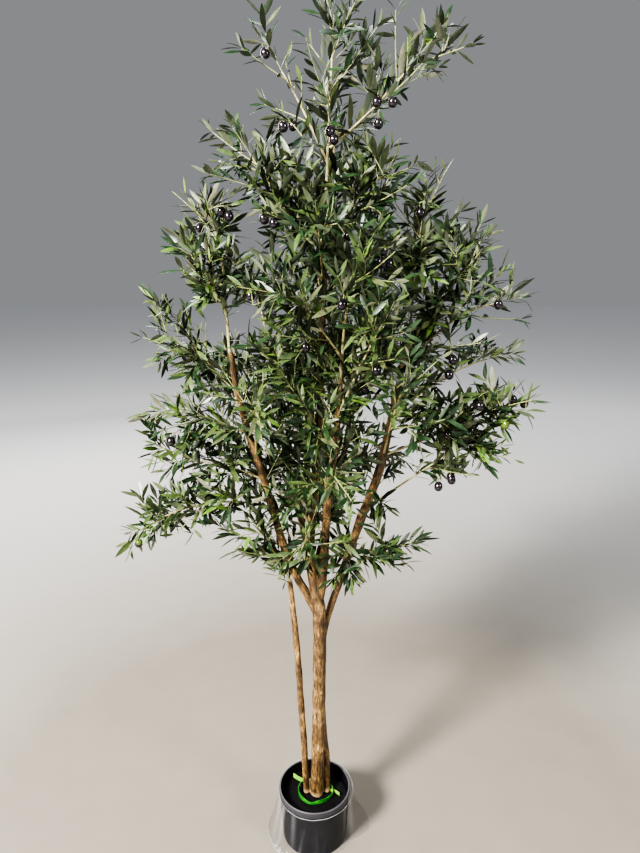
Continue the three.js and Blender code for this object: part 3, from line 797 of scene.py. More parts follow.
# Shoots stand on the limbs inside the crown: from height, to height and the room between two, and the
# height up to which none points at the front, where the limb shows.
shoots = {
    "main_stem": (880, 1730, 12, 0),
    "left_bough": (860, 1590, 22, 1420),
    "right_stem": (860, 1390, 22, 1300),
    "left_stem": (740, 790, 12, 0),
    "middle_bough": (900, 1430, 15, 1150),
    "back_left_bough": (980, 1370, 15, 0),
    "back_right_bough": (1180, 1390, 15, 0),
}
shoot = {"lengths": (55, 135), "lean": 0.95, "uplift": 0.25, "frontLimit": -0.25, "firstPair": 21}
filler = {"lengths": (45, 85), "lean": 0.85, "firstPair": 4}
sprig = {"firstPair": 8, "from": (0, 0, -25)}  # a sprig starts nearest to this place below its tip


def drawsFrom(sprayNumber, twigNumber):
    state = (sprayNumber * growth["perSpray"] + twigNumber + 1) * growth["seed"]

    def draw():
        nonlocal state
        state = (state * growth["multiplier"] + growth["increment"]) % growth["range"]
        return state / growth["range"]

    return draw


def nearOne(draw, jitter):
    return 1 + jitter * (2 * draw() - 1)


def sideways(along, turn):
    base = up.cross(along).normalized()
    return Matrix.Rotation(turn, 3, along) @ base


def leanOff(along, turn, angle):
    return along * math.cos(angle) + sideways(along, turn) * math.sin(angle)


def tossed(dice, reach):
    return Vector([dice.uniform(-reach, reach) for _ in range(3)])


def bowed(foot, tip, sway, count):
    # a path whose middle is drawn aside
    bend = foot.lerp(tip, 0.5) + sway
    shares = [i / count for i in range(count + 1)]
    return [foot * (1 - t) ** 2 + bend * (2 * t * (1 - t)) + tip * t**2 for t in shares]


def lengthsOf(spots):
    return [(b - a).length for a, b in zip(spots, spots[1:])]


def alongPath(spots, share):
    # the point at a share of the way along, and the direction there
    lengths = lengthsOf(spots)
    left = share * sum(lengths)
    for a, b, length in zip(spots, spots[1:], lengths):
        if left <= length or b is spots[-1]:
            return a.lerp(b, min(left / length, 1)), (b - a).normalized()
        left -= length


sprayStems, sprayTwigs, parts = {}, {}, []
for limb, borne in sprays.items():
    for name, (height, tip, arch, *twigs) in borne.items():
        foot = pointAtHeight(limbs[limb], height)
        tip = Vector(tip)
        tip -= (tip - foot).normalized() * growth["leafLength"]
        sprayStems[name] = (foot, tip, up * arch)
        sprayTwigs[name] = twigs
        spots = bowed(*sprayStems[name], growth["stemLines"])
        parts += [(start, end, name) for start, end in zip(spots, spots[1:])]
stemRuns = columns(parts, "start", "end", "owner")


def inOwnSpace(name, point):
    distances = distancesTo(stemRuns, np.array(point))
    own = stemRuns["owner"] == name
    if distances[~own].min() < distances[own].min() + growth["margin"]:
        return False
    return clearOfLimbs(point, growth["margin"])


class Growth:
    # what has grown: twigs as paths with their kind, leaves and olives as their places
    def __init__(self, seed):
        self.dice = random.Random(seed)
        self.twigs, self.leaves, self.olives = [], [], []
        self.turnTo("")

    def turnTo(self, bearer, deep=leaf["deep"], young=usualSpray["young"]):
        # the spray or limb that leaves are counted to from here on, and their tints
        self.bearer, self.deep, self.young = bearer, deep, young

    def tint(self):
        luck = self.dice.random()
        for tint, share in (("young", self.young), ("deep", self.deep), ("mid", leaf["mid"])):
            if luck < share:
                return tint
        return "dull"

    def addTwig(self, kind, foot, tip, sway):
        spots = bowed(foot, tip, sway, twigKinds[kind]["runs"])
        self.twigs.append((spots, kind))
        return spots

    def nearestTwig(self, first, last):
        # a search for the nearest of the twigs' points, between a first and a last one on each
        cloud = [spot for spots, _ in self.twigs for spot in spots[first:last]]
        places = np.array(cloud)
        return lambda place: cloud[np.linalg.norm(places - place, axis=1).argmin()]


def addLeaf(grown, spot, along, side, size):
    dice = grown.dice
    lean = leaf["lean"] * (1 + leaf["leanJitter"] * dice.uniform(-1, 1))
    heading = (along * math.cos(lean) + side * math.sin(lean)).normalized()
    length = leaf["length"] * size * (1 + leaf["sizeJitter"] * dice.uniform(-1, 1))
    tip = spot + heading * length
    if not (clearOfLimbs(tip, 1) and clearOfLimbs(spot.lerp(tip, 0.5), 1)):
        return
    facing = along * 0.5 + up * 0.6 + tossed(dice, leaf["facingJitter"])
    facing = (facing - heading * facing.dot(heading)).normalized()
    tint = grown.tint()
    curl = leaf["curl"] * dice.uniform(*leaf["curlJitter"])
    bearingTwig = len(grown.twigs) - 1
    grown.leaves.append((grown.bearer, spot, heading, facing, length, curl, tint, bearingTwig))


def leafPairs(grown, spots, first, step, size, tipTuft=True):
    # pairs of leaves that stand crosswise, one pair after the other, along a twig
    dice = grown.dice
    total = sum(lengthsOf(spots))
    turn = dice.uniform(0, math.pi)
    way = first
    while way < total - step / 3:
        spot, along = alongPath(spots, way / total)
        for angle in (turn, turn + math.pi):
            side = sideways(along, angle + dice.uniform(-leaf["pairJitter"], leaf["pairJitter"]))
            addLeaf(grown, spot, along, side, size * (1 - (1 - leaf["tipSize"]) * way / total))
        turn += math.pi / 2
        way += step * dice.uniform(*leaf["stepJitter"])
    if tipTuft:
        spot, along = alongPath(spots, 1)
        for k, spread in enumerate(leaf["tuft"]):
            side = sideways(along, turn + k * leaf["tuftTurn"])
            heading = (along + side * spread).normalized()
            addLeaf(grown, spot, heading, side * leaf["tuftLean"], size * leaf["tipSize"])


def fineTwig(grown, foot, heading, reach, size):
    length = growth["leafLength"] * growth["fineTwig"] * reach
    tip = foot + heading * length
    if clearOfLimbs(tip, 2):
        spots = grown.addTwig("fine", foot, tip, tossed(grown.dice, 1) * (twigBend * length))
        leafPairs(grown, spots, leaf["step"] * 0.5, leaf["step"], size)


def forkTwigs(grown, spots, share, draw, size):
    # two fine twigs that face each other across a twig or stem
    spot, along = alongPath(spots, share)
    turn = draw() * math.pi
    for angle in (turn, turn + math.pi):
        heading = leanOff(along, angle, growth["leafLean"])
        fineTwig(grown, spot, heading, nearOne(draw, growth["leafJitter"]), size)


def growTwig(grown, foot, heading, length, endSize, draw, size):
    dice = grown.dice
    end = foot + heading * (length + growth["leafLength"] * growth["fineTwig"] * endSize)
    droop = Vector((dice.uniform(-1, 1), dice.uniform(-1, 1), dice.uniform(-1.2, 0.6)))
    spots = grown.addTwig("twig", foot, end, droop * twigBend * length)
    leafPairs(grown, spots, leaf["stemStep"] * 0.8, leaf["step"] * 1.2, size)
    share = length / (end - foot).length
    forkTwigs(grown, spots, growth["pairAt"] * share, draw, size)
    return alongPath(spots, growth["oliveAt"] * share)[0]


def leafyTwig(grown, foot, tip, first):
    if clearOfLimbs(tip, 6):
        sway = tossed(grown.dice, 1) * (twigBend * (tip - foot).length)
        leafPairs(grown, grown.addTwig("shoot", foot, tip, sway), first, leaf["step"], 1)


def growSpray(grown, number, name):
    twigs, extras = sprayTwigs[name]
    own = {**usualSpray, **extras}
    bare = own["bare"]
    # the crown's and upper sprays get more deep leaves as painted shade
    grown.turnTo(name, leaf["shadedTopDeepShare"].get(name.split("_")[0], leaf["deep"]), own["young"])
    stem = grown.addTwig("stem", *sprayStems[name])
    leafPairs(grown, stem, bare * sum(lengthsOf(stem)), leaf["stemStep"], 1.05, False)
    for i in range(twigs):
        draw = drawsFrom(number, i)
        share = bare + (1 - bare) * (i + growth["twigStagger"]) / twigs
        turn = number + i * growth["goldenAngle"] + draw() * growth["turnJitter"]
        foot, along = alongPath(stem, share)
        heading = leanOff(along, turn, growth["twigLean"] * nearOne(draw, growth["leanJitter"]))
        heading = (heading + up * growth["uplift"]).normalized()
        reach = growth["twigLength"] * own["spread"] * (1 - growth["twigShrink"] * share)
        length = reach * nearOne(draw, growth["lengthJitter"])
        size = 1 - leaf["tipShrink"] * share
        for cut in growth["twigCuts"]:
            whole = length * cut + growth["leafLength"] * math.sqrt(cut)
            if all(inOwnSpace(name, foot + heading * whole * k) for k in (0.5, 1)):
                spot = growTwig(grown, foot, heading, length * cut, math.sqrt(cut), draw, size)
                if i < own["fruit"]:
                    grown.olives.append((spot, "black"))
                break
    dice = grown.dice
    for _ in range(own["filler"]):
        foot, along = alongPath(stem, dice.uniform(bare, 0.95))
        heading = leanOff(along, dice.uniform(0, fullTurn), filler["lean"])
        leafyTwig(grown, foot, foot + heading * dice.uniform(*filler["lengths"]), filler["firstPair"])
    fineTwig(grown, stem[-1], alongPath(stem, 1)[1], 1, 1 - leaf["tipShrink"])
    forkTwigs(grown, stem, growth["stemPairAt"], drawsFrom(number, twigs), 1 - leaf["tipShrink"])


def growShoots(grown, limb):
    height, top, step, frontTop = shoots[limb]
    path = limbs[limb]
    dice = grown.dice
    grown.turnTo(limb)
    turn = 0
    while height < top:
        foot = pointAtHeight(path, height)
        along = (pointAtHeight(path, height + 4) - pointAtHeight(path, height - 4)).normalized()
        turn += growth["goldenAngle"] * dice.uniform(0.9, 1.1)
        heading = leanOff(along, turn, shoot["lean"] * dice.uniform(0.75, 1.2))
        heading = (heading + up * shoot["uplift"]).normalized()
        tip = foot + heading * dice.uniform(*shoot["lengths"])
        height += step * dice.uniform(0.7, 1.3)
        hides = height < frontTop and heading.y < shoot["frontLimit"]
        if not hides and clearOfLimbs(foot.lerp(tip, 0.7), 3):
            leafyTwig(grown, foot, tip, shoot["firstPair"])


def addSprigs(grown):
    nearest = grown.nearestTwig(1, -1)
    for tip in sprigTips:
        # sprigs high in the crown get its deeper tints as painted shade
        grown.turnTo("main_stem", leaf["shadedTopDeepShare"]["crown"] if tip[2] > leaf["highSprig"] else leaf["deep"])
        leafyTwig(grown, nearest(np.add(tip, sprig["from"])), Vector(tip), sprig["firstPair"])


def seenAt(spots):
    # where spots are seen from the front, on the upright plane through the pot's middle
    ahead = seenFrom[1] / (seenFrom[1] - spots[:, 1])
    return seenFrom + (spots - seenFrom) * ahead[:, None]


def beforeLimbs(spots):
    seen = seenAt(spots)
    before = np.zeros(len(spots), dtype=bool)
    for name, top in shownUpTo.items():
        for i in range(beforeLimb["steps"]):
            t = i / beforeLimb["steps"]
            point = limbPoint(limbs[name], t)
            if point.z > top:
                break
            middle = seenAt(np.array([point]))[0]
            away = np.hypot(seen[:, 0] - middle[0], seen[:, 2] - middle[2])
            near = away < limbRadius(limbs[name], t) + beforeLimb["beside"]
            before |= near & (spots[:, 1] < point.y)
    return before


def shareLeftOut(spots):
    # the largest share of the openings in which each spot is seen from the front
    seen = seenAt(spots)
    shares = np.zeros(len(spots))
    for share, rows in openings.items():
        for x, z, halfWidth, halfHeight in rows:
            inside = ((seen[:, 0] - x) / halfWidth) ** 2 + ((seen[:, 2] - z) / halfHeight) ** 2 < 1
            shares = np.maximum(shares, inside * share)
    return shares


def openCrown(grown):
    # leaves out leaves where the crown is open, as seen from the front
    middles = np.array([row[1] + row[2] * row[4] * 0.55 for row in grown.leaves])
    luck = np.array([grown.dice.random() for _ in grown.leaves])
    kept = luck >= np.maximum(shareLeftOut(middles), beforeLimb["share"] * beforeLimbs(middles))
    ends = np.array([spots[-1].lerp(spots[len(spots) // 2], 0.4) for spots, _ in grown.twigs])
    fine = np.array([kind in ("fine", "shoot") for _, kind in grown.twigs])
    bare = fine & (shareLeftOut(ends) > bareOpening)
    grown.leaves = [row for row, keep in zip(grown.leaves, kept) if keep and not bare[row[-1]]]
    grown.twigs = [row for row, without in zip(grown.twigs, bare) if not without]


def hangOlives(grown):
    # each olive gets a small twig from the nearest one, and the leaves in front of it are left out
    nearest = grown.nearestTwig(1, None)
    hang = up * (olive["stalk"] + olive["length"] / 2)
    grown.turnTo("main_stem", young=0)
    for kind, hanging in olivePlaces.items():
        for place in hanging:
            hook = Vector(place) + hang
            foot = nearest(np.array(hook))
            gap = (hook - foot).length
            if gap > olive["stalk"]:
                spots = grown.addTwig("hanger", foot, hook, up * 0.15 * gap)
                leafPairs(grown, spots, leaf["step"] / 2, leaf["step"], 0.9)
            grown.olives.append((hook, kind))
    kept = np.ones(len(grown.leaves), dtype=bool)
    for share in (0.3, 0.6, 0.9):
        places = np.array([row[1] + row[2] * row[4] * share for row in grown.leaves])
        for spot, _ in grown.olives:
            middle = np.array(spot) - np.array(hang)
            ahead = seenFrom - middle
            ahead /= np.linalg.norm(ahead)
            ways = np.clip((places - middle) @ ahead, 0, olive["clearAhead"])
            away = np.linalg.norm(places - middle - ways[:, None] * ahead, axis=1)
            kept &= away > olive["clear"]
    grown.leaves = [row for row, keep in zip(grown.leaves, kept) if keep]


grown = Growth(5)
for number, name in enumerate(sprayStems):
    growSpray(grown, number, name)
for limb in shoots:
    growShoots(grown, limb)
openCrown(grown)
addSprigs(grown)
hangOlives(grown)
print("grown:", len(grown.twigs), "twigs,", len(grown.leaves), "leaves,", len(grown.olives), "olives")


# Leaves: one leaf shaped from a four-sided ball, copied to every place.
def ballOf(**options):
    # a ball's points and faces
    ball = added(bpy.ops.mesh.primitive_uv_sphere_add, **options)
    spots, faces = spotsOf(ball), [list(face.vertices) for face in ball.data.polygons]
    bpy.data.objects.remove(ball)
    return spots, faces


def leafShape():
    # each point as its share of the half width, its share of the length, its lift and its side of the leaf
    rings = len(leaf["stations"]) - 1
    spots, faces = ballOf(segments=4, ring_count=rings, radius=1)
    shaped = []
    for x, y, z in spots:
        along, wide = leaf["stations"][round(math.acos(max(-1, min(1, -z))) / math.pi * rings)]
        reach = math.hypot(x, y)
        side, face = (x / reach, y / reach) if reach > 0.01 else (0, 0)
        shaped.append((side * wide, along, leaf["fold"] * wide * abs(side), face))
    return np.array(shaped), faces


leafGroups = {
    "leaves_crown": ("crown_", "upper_"),
    "leaves_core": ("core_", "skirt_", "main_stem"),
    "leaves_left": ("left_",),
    "leaves_right": ("right_",),
    "leaves_middle": ("middle_",),
    "leaves_back": ("back_",),
}
# Each tint's dark and light shade, on top and under the leaf.
tints = {
    "deep": {
        "top": [(0.007, 0.022, 0.007), (0.020, 0.046, 0.014)],
        "under": [(0.022, 0.033, 0.015), (0.045, 0.058, 0.030)],
    },
    "mid": {
        "top": [(0.040, 0.069, 0.018), (0.082, 0.120, 0.036)],
        "under": [(0.068, 0.084, 0.042), (0.112, 0.128, 0.072)],
    },
    "dull": {
        "top": [(0.052, 0.066, 0.026), (0.098, 0.110, 0.048)],
        "under": [(0.112, 0.116, 0.068), (0.165, 0.168, 0.108)],
    },
    "young": {
        "top": [(0.075, 0.15, 0.020), (0.13, 0.22, 0.036)],
        "under": [(0.13, 0.18, 0.06), (0.18, 0.24, 0.09)],
    },
}


def makeLeaves():
    looks = []
    for tint, shades in tints.items():
        for side in ("top", "under"):
            roughness = leaf[side + "Roughness"]
            name = tint + "Leaf" + side.capitalize()
            looks.append(mottledLook(name, shades[side], roughness=roughness, **leaf["surface"]))
    order = list(tints)
    shape, faces = leafShape()
    isUnder = [sum(shape[i][3] for i in face) <= 0 for face in faces]
    side, along, lift, face = shape.T
    for group, starts in leafGroups.items():
        heap = Heap()
        for bearer, root, heading, facing, length, curl, tint, _ in grown.leaves:
            if bearer.startswith(starts):
                halfWidth = leaf["width"] / leaf["length"] * length / 2
                rise = lift * halfWidth + leaf["thick"] * face / 2 - curl * length * along**2
                spots = np.array(root) + np.outer(side * halfWidth, heading.cross(facing))
                spots = spots + np.outer(along * length, heading) + np.outer(rise, facing)
                heap.add(spots * mm, faces, [2 * order.index(tint) + under for under in isUnder])
        piece = heap.piece(group)
        faceOutwards(piece)
        finishPiece(piece, [name for name in sprayStems if name.startswith(starts)], looks, 35)


makeLeaves()


# Twigs: every path as a tapered tube with closed ends, in one mesh.
def tube(spots, radii, sides):
    last = len(spots) - 1
    side = sideways((spots[1] - spots[0]).normalized(), 0)
    rings = []
    for i, spot in enumerate(spots):
        along = (spots[min(i + 1, last)] - spots[max(i - 1, 0)]).normalized()
        side = (side - along * side.dot(along)).normalized()
        radius = radii[0] + (radii[1] - radii[0]) * i / last
        for k in range(sides):
            rings.append((spot + Matrix.Rotation(fullTurn * k / sides, 3, along) @ side * radius) * mm)
    faces = [list(reversed(range(sides))), list(range(last * sides, (last + 1) * sides))]
    for i in range(last):
        for k in range(sides):
            a, b = i * sides + k, i * sides + (k + 1) % sides
            faces.append([a, b, b + sides, a + sides])
    return rings, faces


twigSurface = {
    "patches": (160,),
    "stretch": (1, 1, 0.5),
    "edges": (0.35, 0.65),
    "roughness": 0.65,
    "spread": -0.2,
    "bump": (0.0006, 0.5),
}


def makeTwigs():
    heap = Heap()
    for spots, kind in grown.twigs:
        rings, faces = tube(spots, twigKinds[kind]["radii"], twigKinds[kind]["sides"])
        heap.add(rings, faces, [int(kind != "stem")] * len(faces))
    looks = [
        mottledLook("stemTan", [(0.24, 0.19, 0.08), (0.46, 0.40, 0.20)], **twigSurface),
        mottledLook("twigGreen", [(0.16, 0.18, 0.065), (0.33, 0.34, 0.14)], **twigSurface),
    ]
    finishPiece(heap.piece("twigs"), [], looks, 60)


makeTwigs()


# Olives: one olive shaped from a ball, hung on a stalk at each place.
def oliveShape():
    # fuller below than at the stalk, and dimpled there
    spots, faces = ballOf(segments=16, ring_count=12, radius=0.5)
    spots[:, :2] *= 1 - olive["taper"] * spots[:, 2:]
    dimple = bell(np.linalg.norm(spots[:, :2], axis=1), olive["dimpleWidth"]) * (spots[:, 2] > 0)
    spots[:, 2] -= olive["dimple"] * dimple
    return spots * (olive["width"], olive["width"], olive["length"]), faces


def makeOlives():
    shape, faces = oliveShape()
    isHigh = [np.mean([shape[i][2] for i in face]) > olive["length"] * olive["blush"] for face in faces]
    dice = random.Random(3)
    sway = olive["sway"]
    heap = Heap()
    for twigSpot, kind in grown.olives:
        hang = Vector((dice.uniform(-sway, sway), dice.uniform(-sway, sway), -1)).normalized()
        top = twigSpot + hang * olive["stalk"]
        middle = np.array(top + hang * olive["length"] * 0.47)
        turn = np.array(hang.rotation_difference(-up).to_matrix().transposed())
        looks = [int(kind == "green" or kind == "turning" and high) for high in isHigh]
        heap.add([(middle + turn @ spot) * mm for spot in shape], faces, looks)
        stalk = [twigSpot, twigSpot.lerp(top, 0.5), top + hang * 2]
        rings, stalkFaces = tube(stalk, (olive["stalkRadius"],) * 2, 6)
        heap.add(rings, stalkFaces, [2] * len(stalkFaces))
    skin = {"patches": (210,), "roughness": 0.12, "spread": 0.25, "coatWeight": 0.5, "coatRoughness": 0.08}
    looks = [
        mottledLook("oliveBlack", [(0.006, 0.004, 0.006), (0.016, 0.010, 0.014)], **skin),
        mottledLook("oliveGreen", [(0.05, 0.085, 0.012), (0.10, 0.15, 0.025)], **skin),
        mottledLook("oliveStalk", [(0.11, 0.14, 0.035), (0.20, 0.24, 0.07)], **twigSurface),
    ]
    finishPiece(heap.piece("olives"), [], looks, 60)


makeOlives()


# Pot: an outline turned round the middle.
pot = {
    "height": 157,
    "footRadius": 90,
    "wallRadius": 97.5,
    "lipRadius": 100,
    "lipHeight": 18,
    "wall": 2.5,
    "steps": 128,
    "footRing": 3,
    "footRingWidth": 6,
    "wallShades": [(0.014, 0.0142, 0.0185), (0.023, 0.0235, 0.029)],
    # the lip is paler than the wall: partly dust, partly painted light, with the recessed wall below it as
    # if in shade
    "lipShades": [(0.030, 0.029, 0.034), (0.052, 0.050, 0.057)],
    # a painted highlight along the rim's top edge
    "rimHighlight": (0.066, 0.064, 0.072),
    # near-black shades of the ballast, also used on the pot's inner wall and floor, where being far darker
    # than its outside they are painted shade
    "inside": {
        "shades": [(0.0008, 0.0007, 0.001), (0.004, 0.0035, 0.0045)],
        "patches": (120, 6, 0.65),
        "roughness": 0.75,
        "specular": 0.2,
        "bump": (0.003, 0.9),
    },
}
lipFoot = pot["height"] - pot["lipHeight"]


def turned(name, outline, steps):
    # spins an outline of radius and height, in mm, that starts and ends on the axis or closes on itself
    edges = [(i, i + 1) for i in range(len(outline) - 1)]
    thing = meshFrom(name, [(radius * mm, 0, height * mm) for radius, height in outline], edges, [])
    edit(thing, "spin", steps=steps, angle=fullTurn, center=(0, 0, 0), axis=up)
    edit(thing, "remove_doubles", threshold=1e-6)
    faceOutwards(thing)
    return thing


def arc(radius, height, size, fromTurn, toTurn, count=5):
    # points on an arc round a centre, with turns in degrees from the outward direction
    turns = [math.radians(fromTurn + (toTurn - fromTurn) * i / count) for i in range(count + 1)]
    return [(radius + size * math.cos(turn), height + size * math.sin(turn)) for turn in turns]


def makePot():
    height, foot, wall, ring = pot["height"], pot["footRadius"], pot["wall"], pot["footRing"]
    lip, upper = pot["lipRadius"], pot["wallRadius"]
    outline = [
        (0, ring),
        (foot - pot["footRingWidth"] - 2, ring),
        (foot - pot["footRingWidth"], 0),
        *arc(foot - 2.5, 2.5, 2.5, -90, 0),
        (foot + 0.4, 12),
        (foot + (upper - foot) * 0.5, lipFoot * 0.5),
        (upper - 0.3, lipFoot - 3),
        *arc(lip - 2, lipFoot + 1, 1.5, -90, 0, 3),
        (lip - 0.3, height - 6),
        *arc(lip - 2.2, height - 2.2, 2.2, 0, 90),
        *arc(upper - wall + 1.5, height - 1.5, 1.5, 90, 180, 4),
        (upper - wall - 0.4, lipFoot - 2),
        (foot - wall, wall + ring),
        (0, wall + ring),
    ]
    piece = turned("pot_shell", outline, pot["steps"])
    finishPiece(piece, ["pot"], [potLook(), mottledLook("potInsidePaintedShade", **pot["inside"])], 35)
    # the inner wall and floor get the near-black inside look, painted shade inside the pot
    for face in piece.data.polygons:
        middle = face.center / mm
        inward = face.normal.x * middle.x + face.normal.y * middle.y < -0.5 and middle.z < height - 3
        floor = face.normal.z > 0.5 and middle.z < height / 2
        face.material_index = int(inward or floor)


def potLook():
    board = Board("potBlack")
    dust = board.noise(board.place(), 38, 5)
    lines = board.noise(board.place((1, 1, 0.06)), 160, 3)  # faint upright lines from the mould
    wall = board.mix(board.fade(dust, 0.45, 0.8), *pot["wallShades"])
    # the lip's paler shades: partly dust, partly painted light against the recessed wall
    onLip = board.fadeUp(lipFoot - 0.4, lipFoot + 0.8)
    # painted highlight: the rim's top 1.6 mm turns paler
    rimHighlight = board.fadeUp(pot["height"] - 1.6, pot["height"] - 0.4)
    colour = board.mix(onLip, wall, board.mix(dust, *pot["lipShades"]))
    normal = board.bump(lines, 0.0003, 0.15)
    board.coat(baseColor=board.mix(rimHighlight, colour, pot["rimHighlight"]), roughness=0.36 + 0.2 * dust, normal=normal)
    return board.material


# Ballast: cement painted black that fills the pot to the stems' feet.
ballast = {"top": 127, "gap": 0.5, "floor": 6, "relief": 1.1, "voxel": 3.2, "steps": 96}


def makeBallast():
    flare = (pot["wallRadius"] - pot["footRadius"]) / lipFoot
    ends = []
    for level in (ballast["floor"], ballast["top"]):
        inside = pot["footRadius"] - pot["wall"] + flare * (level - ballast["floor"])
        ends.append((inside - ballast["gap"], level))
    outline = [(0, ballast["floor"]), *ends, (0, ballast["top"])]
    piece = turned("ballast_surface", outline, ballast["steps"])
    applyModifier(piece, "REMESH", mode="VOXEL", voxel_size=ballast["voxel"] * mm)

    def lumpy(x, y, z):
        if z <= ballast["top"] - 1.5:
            return x, y, z
        lumps = noiseAt(x / 14, y / 14, 0) + 0.5 * noiseAt(x / 5, y / 5, 7)
        return x, y, z - ballast["relief"] * (0.6 + 0.8 * lumps)

    moveEach(piece, lumpy)
    finishPiece(piece, ["ballast_fill"], [mottledLook("ballastBlack", **pot["inside"])], 60)


makePot()
makeBallast()


# Strap: an oval plastic band on edge round the feet, with its ribbed end and its plain end.
strap = {
    "centre": (2, -1),
    "radii": (49, 38),
    "base": ballast["top"] + 0.3,
    "height": 13.5,
    "thick": 1.6,
    "segments": 96,
    "levels": 4,
    "edge": 0.5,  # how much its edges are rounded
    "wobble": 0.02,
    "tilt": 0.03,
    "lift": 5,  # how far the band rises behind on the left
    "liftAt": 2.6,
    "dip": 5,  # how far its upper edge is pressed down in front
    "dipAt": -1.9,
    "dipIn": 1.5,
    "tails": [((-24, 34), (-62, 56), 12), ((46, 6), (70, -11), 8)],
    "tailRise": 1.5,
    "ribs": 9,
    "rib": 0.35,
    "bow": 2.2,
    "green": [(0.008, 0.11, 0.010), (0.035, 0.30, 0.028)],
    "lime": [(0.16, 0.40, 0.03), (0.29, 0.56, 0.06)],
    "surface": {
        "patches": (70, 3),
        "edges": (0.35, 0.7),
        "grain": (900, 2),
        "roughness": 0.34,
        "spread": 0.12,
        "bump": (0.0003, 0.4),
        "subsurface": 0.15,
    },
}


def makeStrap():
    base = strap["base"]
    circle = bpy.ops.mesh.primitive_circle_add
    band = added(circle, vertices=strap["segments"], radius=mm, fill_type="NOTHING")
    band.scale = (*strap["radii"], 1)
    band.location = (strap["centre"][0] * mm, strap["centre"][1] * mm, base * mm)
    settle(band)
    rise = {"value": (0, 0, strap["height"] * mm / strap["levels"])}
    edit(band, "extrude_region_move", strap["levels"], TRANSFORM_OT_translate=rise)

    def uneven(x, y, z):
        turn = math.atan2(y - strap["centre"][1], x - strap["centre"][0])
        level = (z - base) / strap["height"]
        lean = 1 + strap["wobble"] * math.sin(3 * turn + 1)
        lean += strap["tilt"] * (0.5 - level) * math.cos(turn - 2)
        behind = max(math.cos(turn - strap["liftAt"]), 0) ** 2
        pressed = max(math.cos(turn - strap["dipAt"]), 0) ** 12
        lift = strap["lift"] * behind * (0.4 + 0.6 * level) - strap["dip"] * pressed * level
        return x * lean, y * lean - strap["dipIn"] * pressed, z + lift

    moveEach(band, uneven)
    faceOutwards(band)
    applyModifier(band, "SOLIDIFY", thickness=strap["thick"] * mm, offset=0)
    applyModifier(band, "BEVEL", width=strap["edge"] * mm, segments=2, limit_method="ANGLE")
    band.data.materials.append(mottledLook("strapGreen", strap["green"], **strap["surface"]))
    tails = [strapTail(*row) for row in strap["tails"]]
    lime = mottledLook("strapLime", strap["lime"], **strap["surface"])
    for tail in tails:
        tail.data.materials.append(lime)
    finishPiece(joined("strap", band, *tails), ["green_tie"], [], 40)


def strapTail(start, end, height):
    start, end = Vector(start), Vector(end)
    run = end - start
    tail = added(bpy.ops.mesh.primitive_cube_add, size=mm)
    tail.scale = (run.length, strap["thick"], height)
    settle(tail)
    cuts = strap["ribs"] * 2
    edit(tail, "subdivide", number_cuts=cuts)

    def ribbed(x, y, z):
        share = x / run.length + 0.5
        rib = strap["rib"] if round(share * (cuts + 1)) % 2 else 0
        bow = strap["bow"] * math.sin(math.pi * share)
        rise = strap["tailRise"] * share * z / height + strap["tailRise"] * share
        return x, y + math.copysign(rib, y) + bow, z + rise

    moveEach(tail, ribbed)
    middle = (start + end) / 2
    tail.rotation_euler.z = math.atan2(run.y, run.x)
    tail.location = (middle.x * mm, middle.y * mm, (strap["base"] + height / 2 + 0.4) * mm)
    settle(tail)
    return tail


makeStrap()


# Film: a thin clear wrapper that hugs the pot's lip and spreads on the floor, least in front on the right.
film = {
    # from its upper edge to its hem: height, how far it stands off the lip, share of the hem's reach
    "profile": [(147, 2.8, 0), (139, 1.1, 0), (100, 1.1, 0.2), (45, 1.1, 0.55), (1.2, 1.1, 1)],
    # its hem's reach every 30 degrees, from the right by way of the back
    "hem": [54, 58, 42, 30, 28, 30, 33, 25, 14, 7, 2, 0],
    "slant": 8,
    "sway": 5,
    "folds": 7,
    "foldDepth": 0.02,
    "steps": 280,
    "rows": 9,  # between two points of the profile
    "thick": 0.3,
    "creases": 22,
    "creaseRise": 2.2,
    "crumple": 1.4,
    "crumpledAt": 3.85,  # the angle at which the hem is crumpled into folds
    "crumpledSize": (0.3, 16),  # its width as an angle, and its height
    "crumpledRise": (2.5, 3),  # outwards and upwards
    "ripple": 3,
    "ragged": 2.4,  # how far its upper edge goes up and down
    "line": 2.4,  # width of the painted highlight lines along its upper edge and hem
    # angle, width and strength of its painted sheen bands
    "sheens": [
        (3.45, 0.14, 0.26), (3.72, 0.08, 0.28), (4.12, 0.08, 0.15),
        (5.62, 0.06, 0.22), (5.93, 0.1, 0.26),
    ],
    "highlightLayer": 0.75,  # how much of the background its strongest painted highlights hide
}


def hemReach(angle):
    hem = film["hem"]
    way = (angle / fullTurn) % 1 * len(hem)
    step = int(way) % len(hem)
    weight = way - int(way)
    weight = weight * weight * (3 - 2 * weight)
    return hem[step] * (1 - weight) + hem[(step + 1) % len(hem)] * weight


def turnBetween(first, second):
    return abs((first - second + math.pi) % fullTurn - math.pi)


def filmRows():
    rows = []
    for upper, lower in zip(film["profile"], film["profile"][1:]):
        for i in range(film["rows"]):
            t = i / film["rows"]
            rows.append([a + (b - a) * t for a, b in zip(upper, lower)])
    return [*rows, film["profile"][-1]]


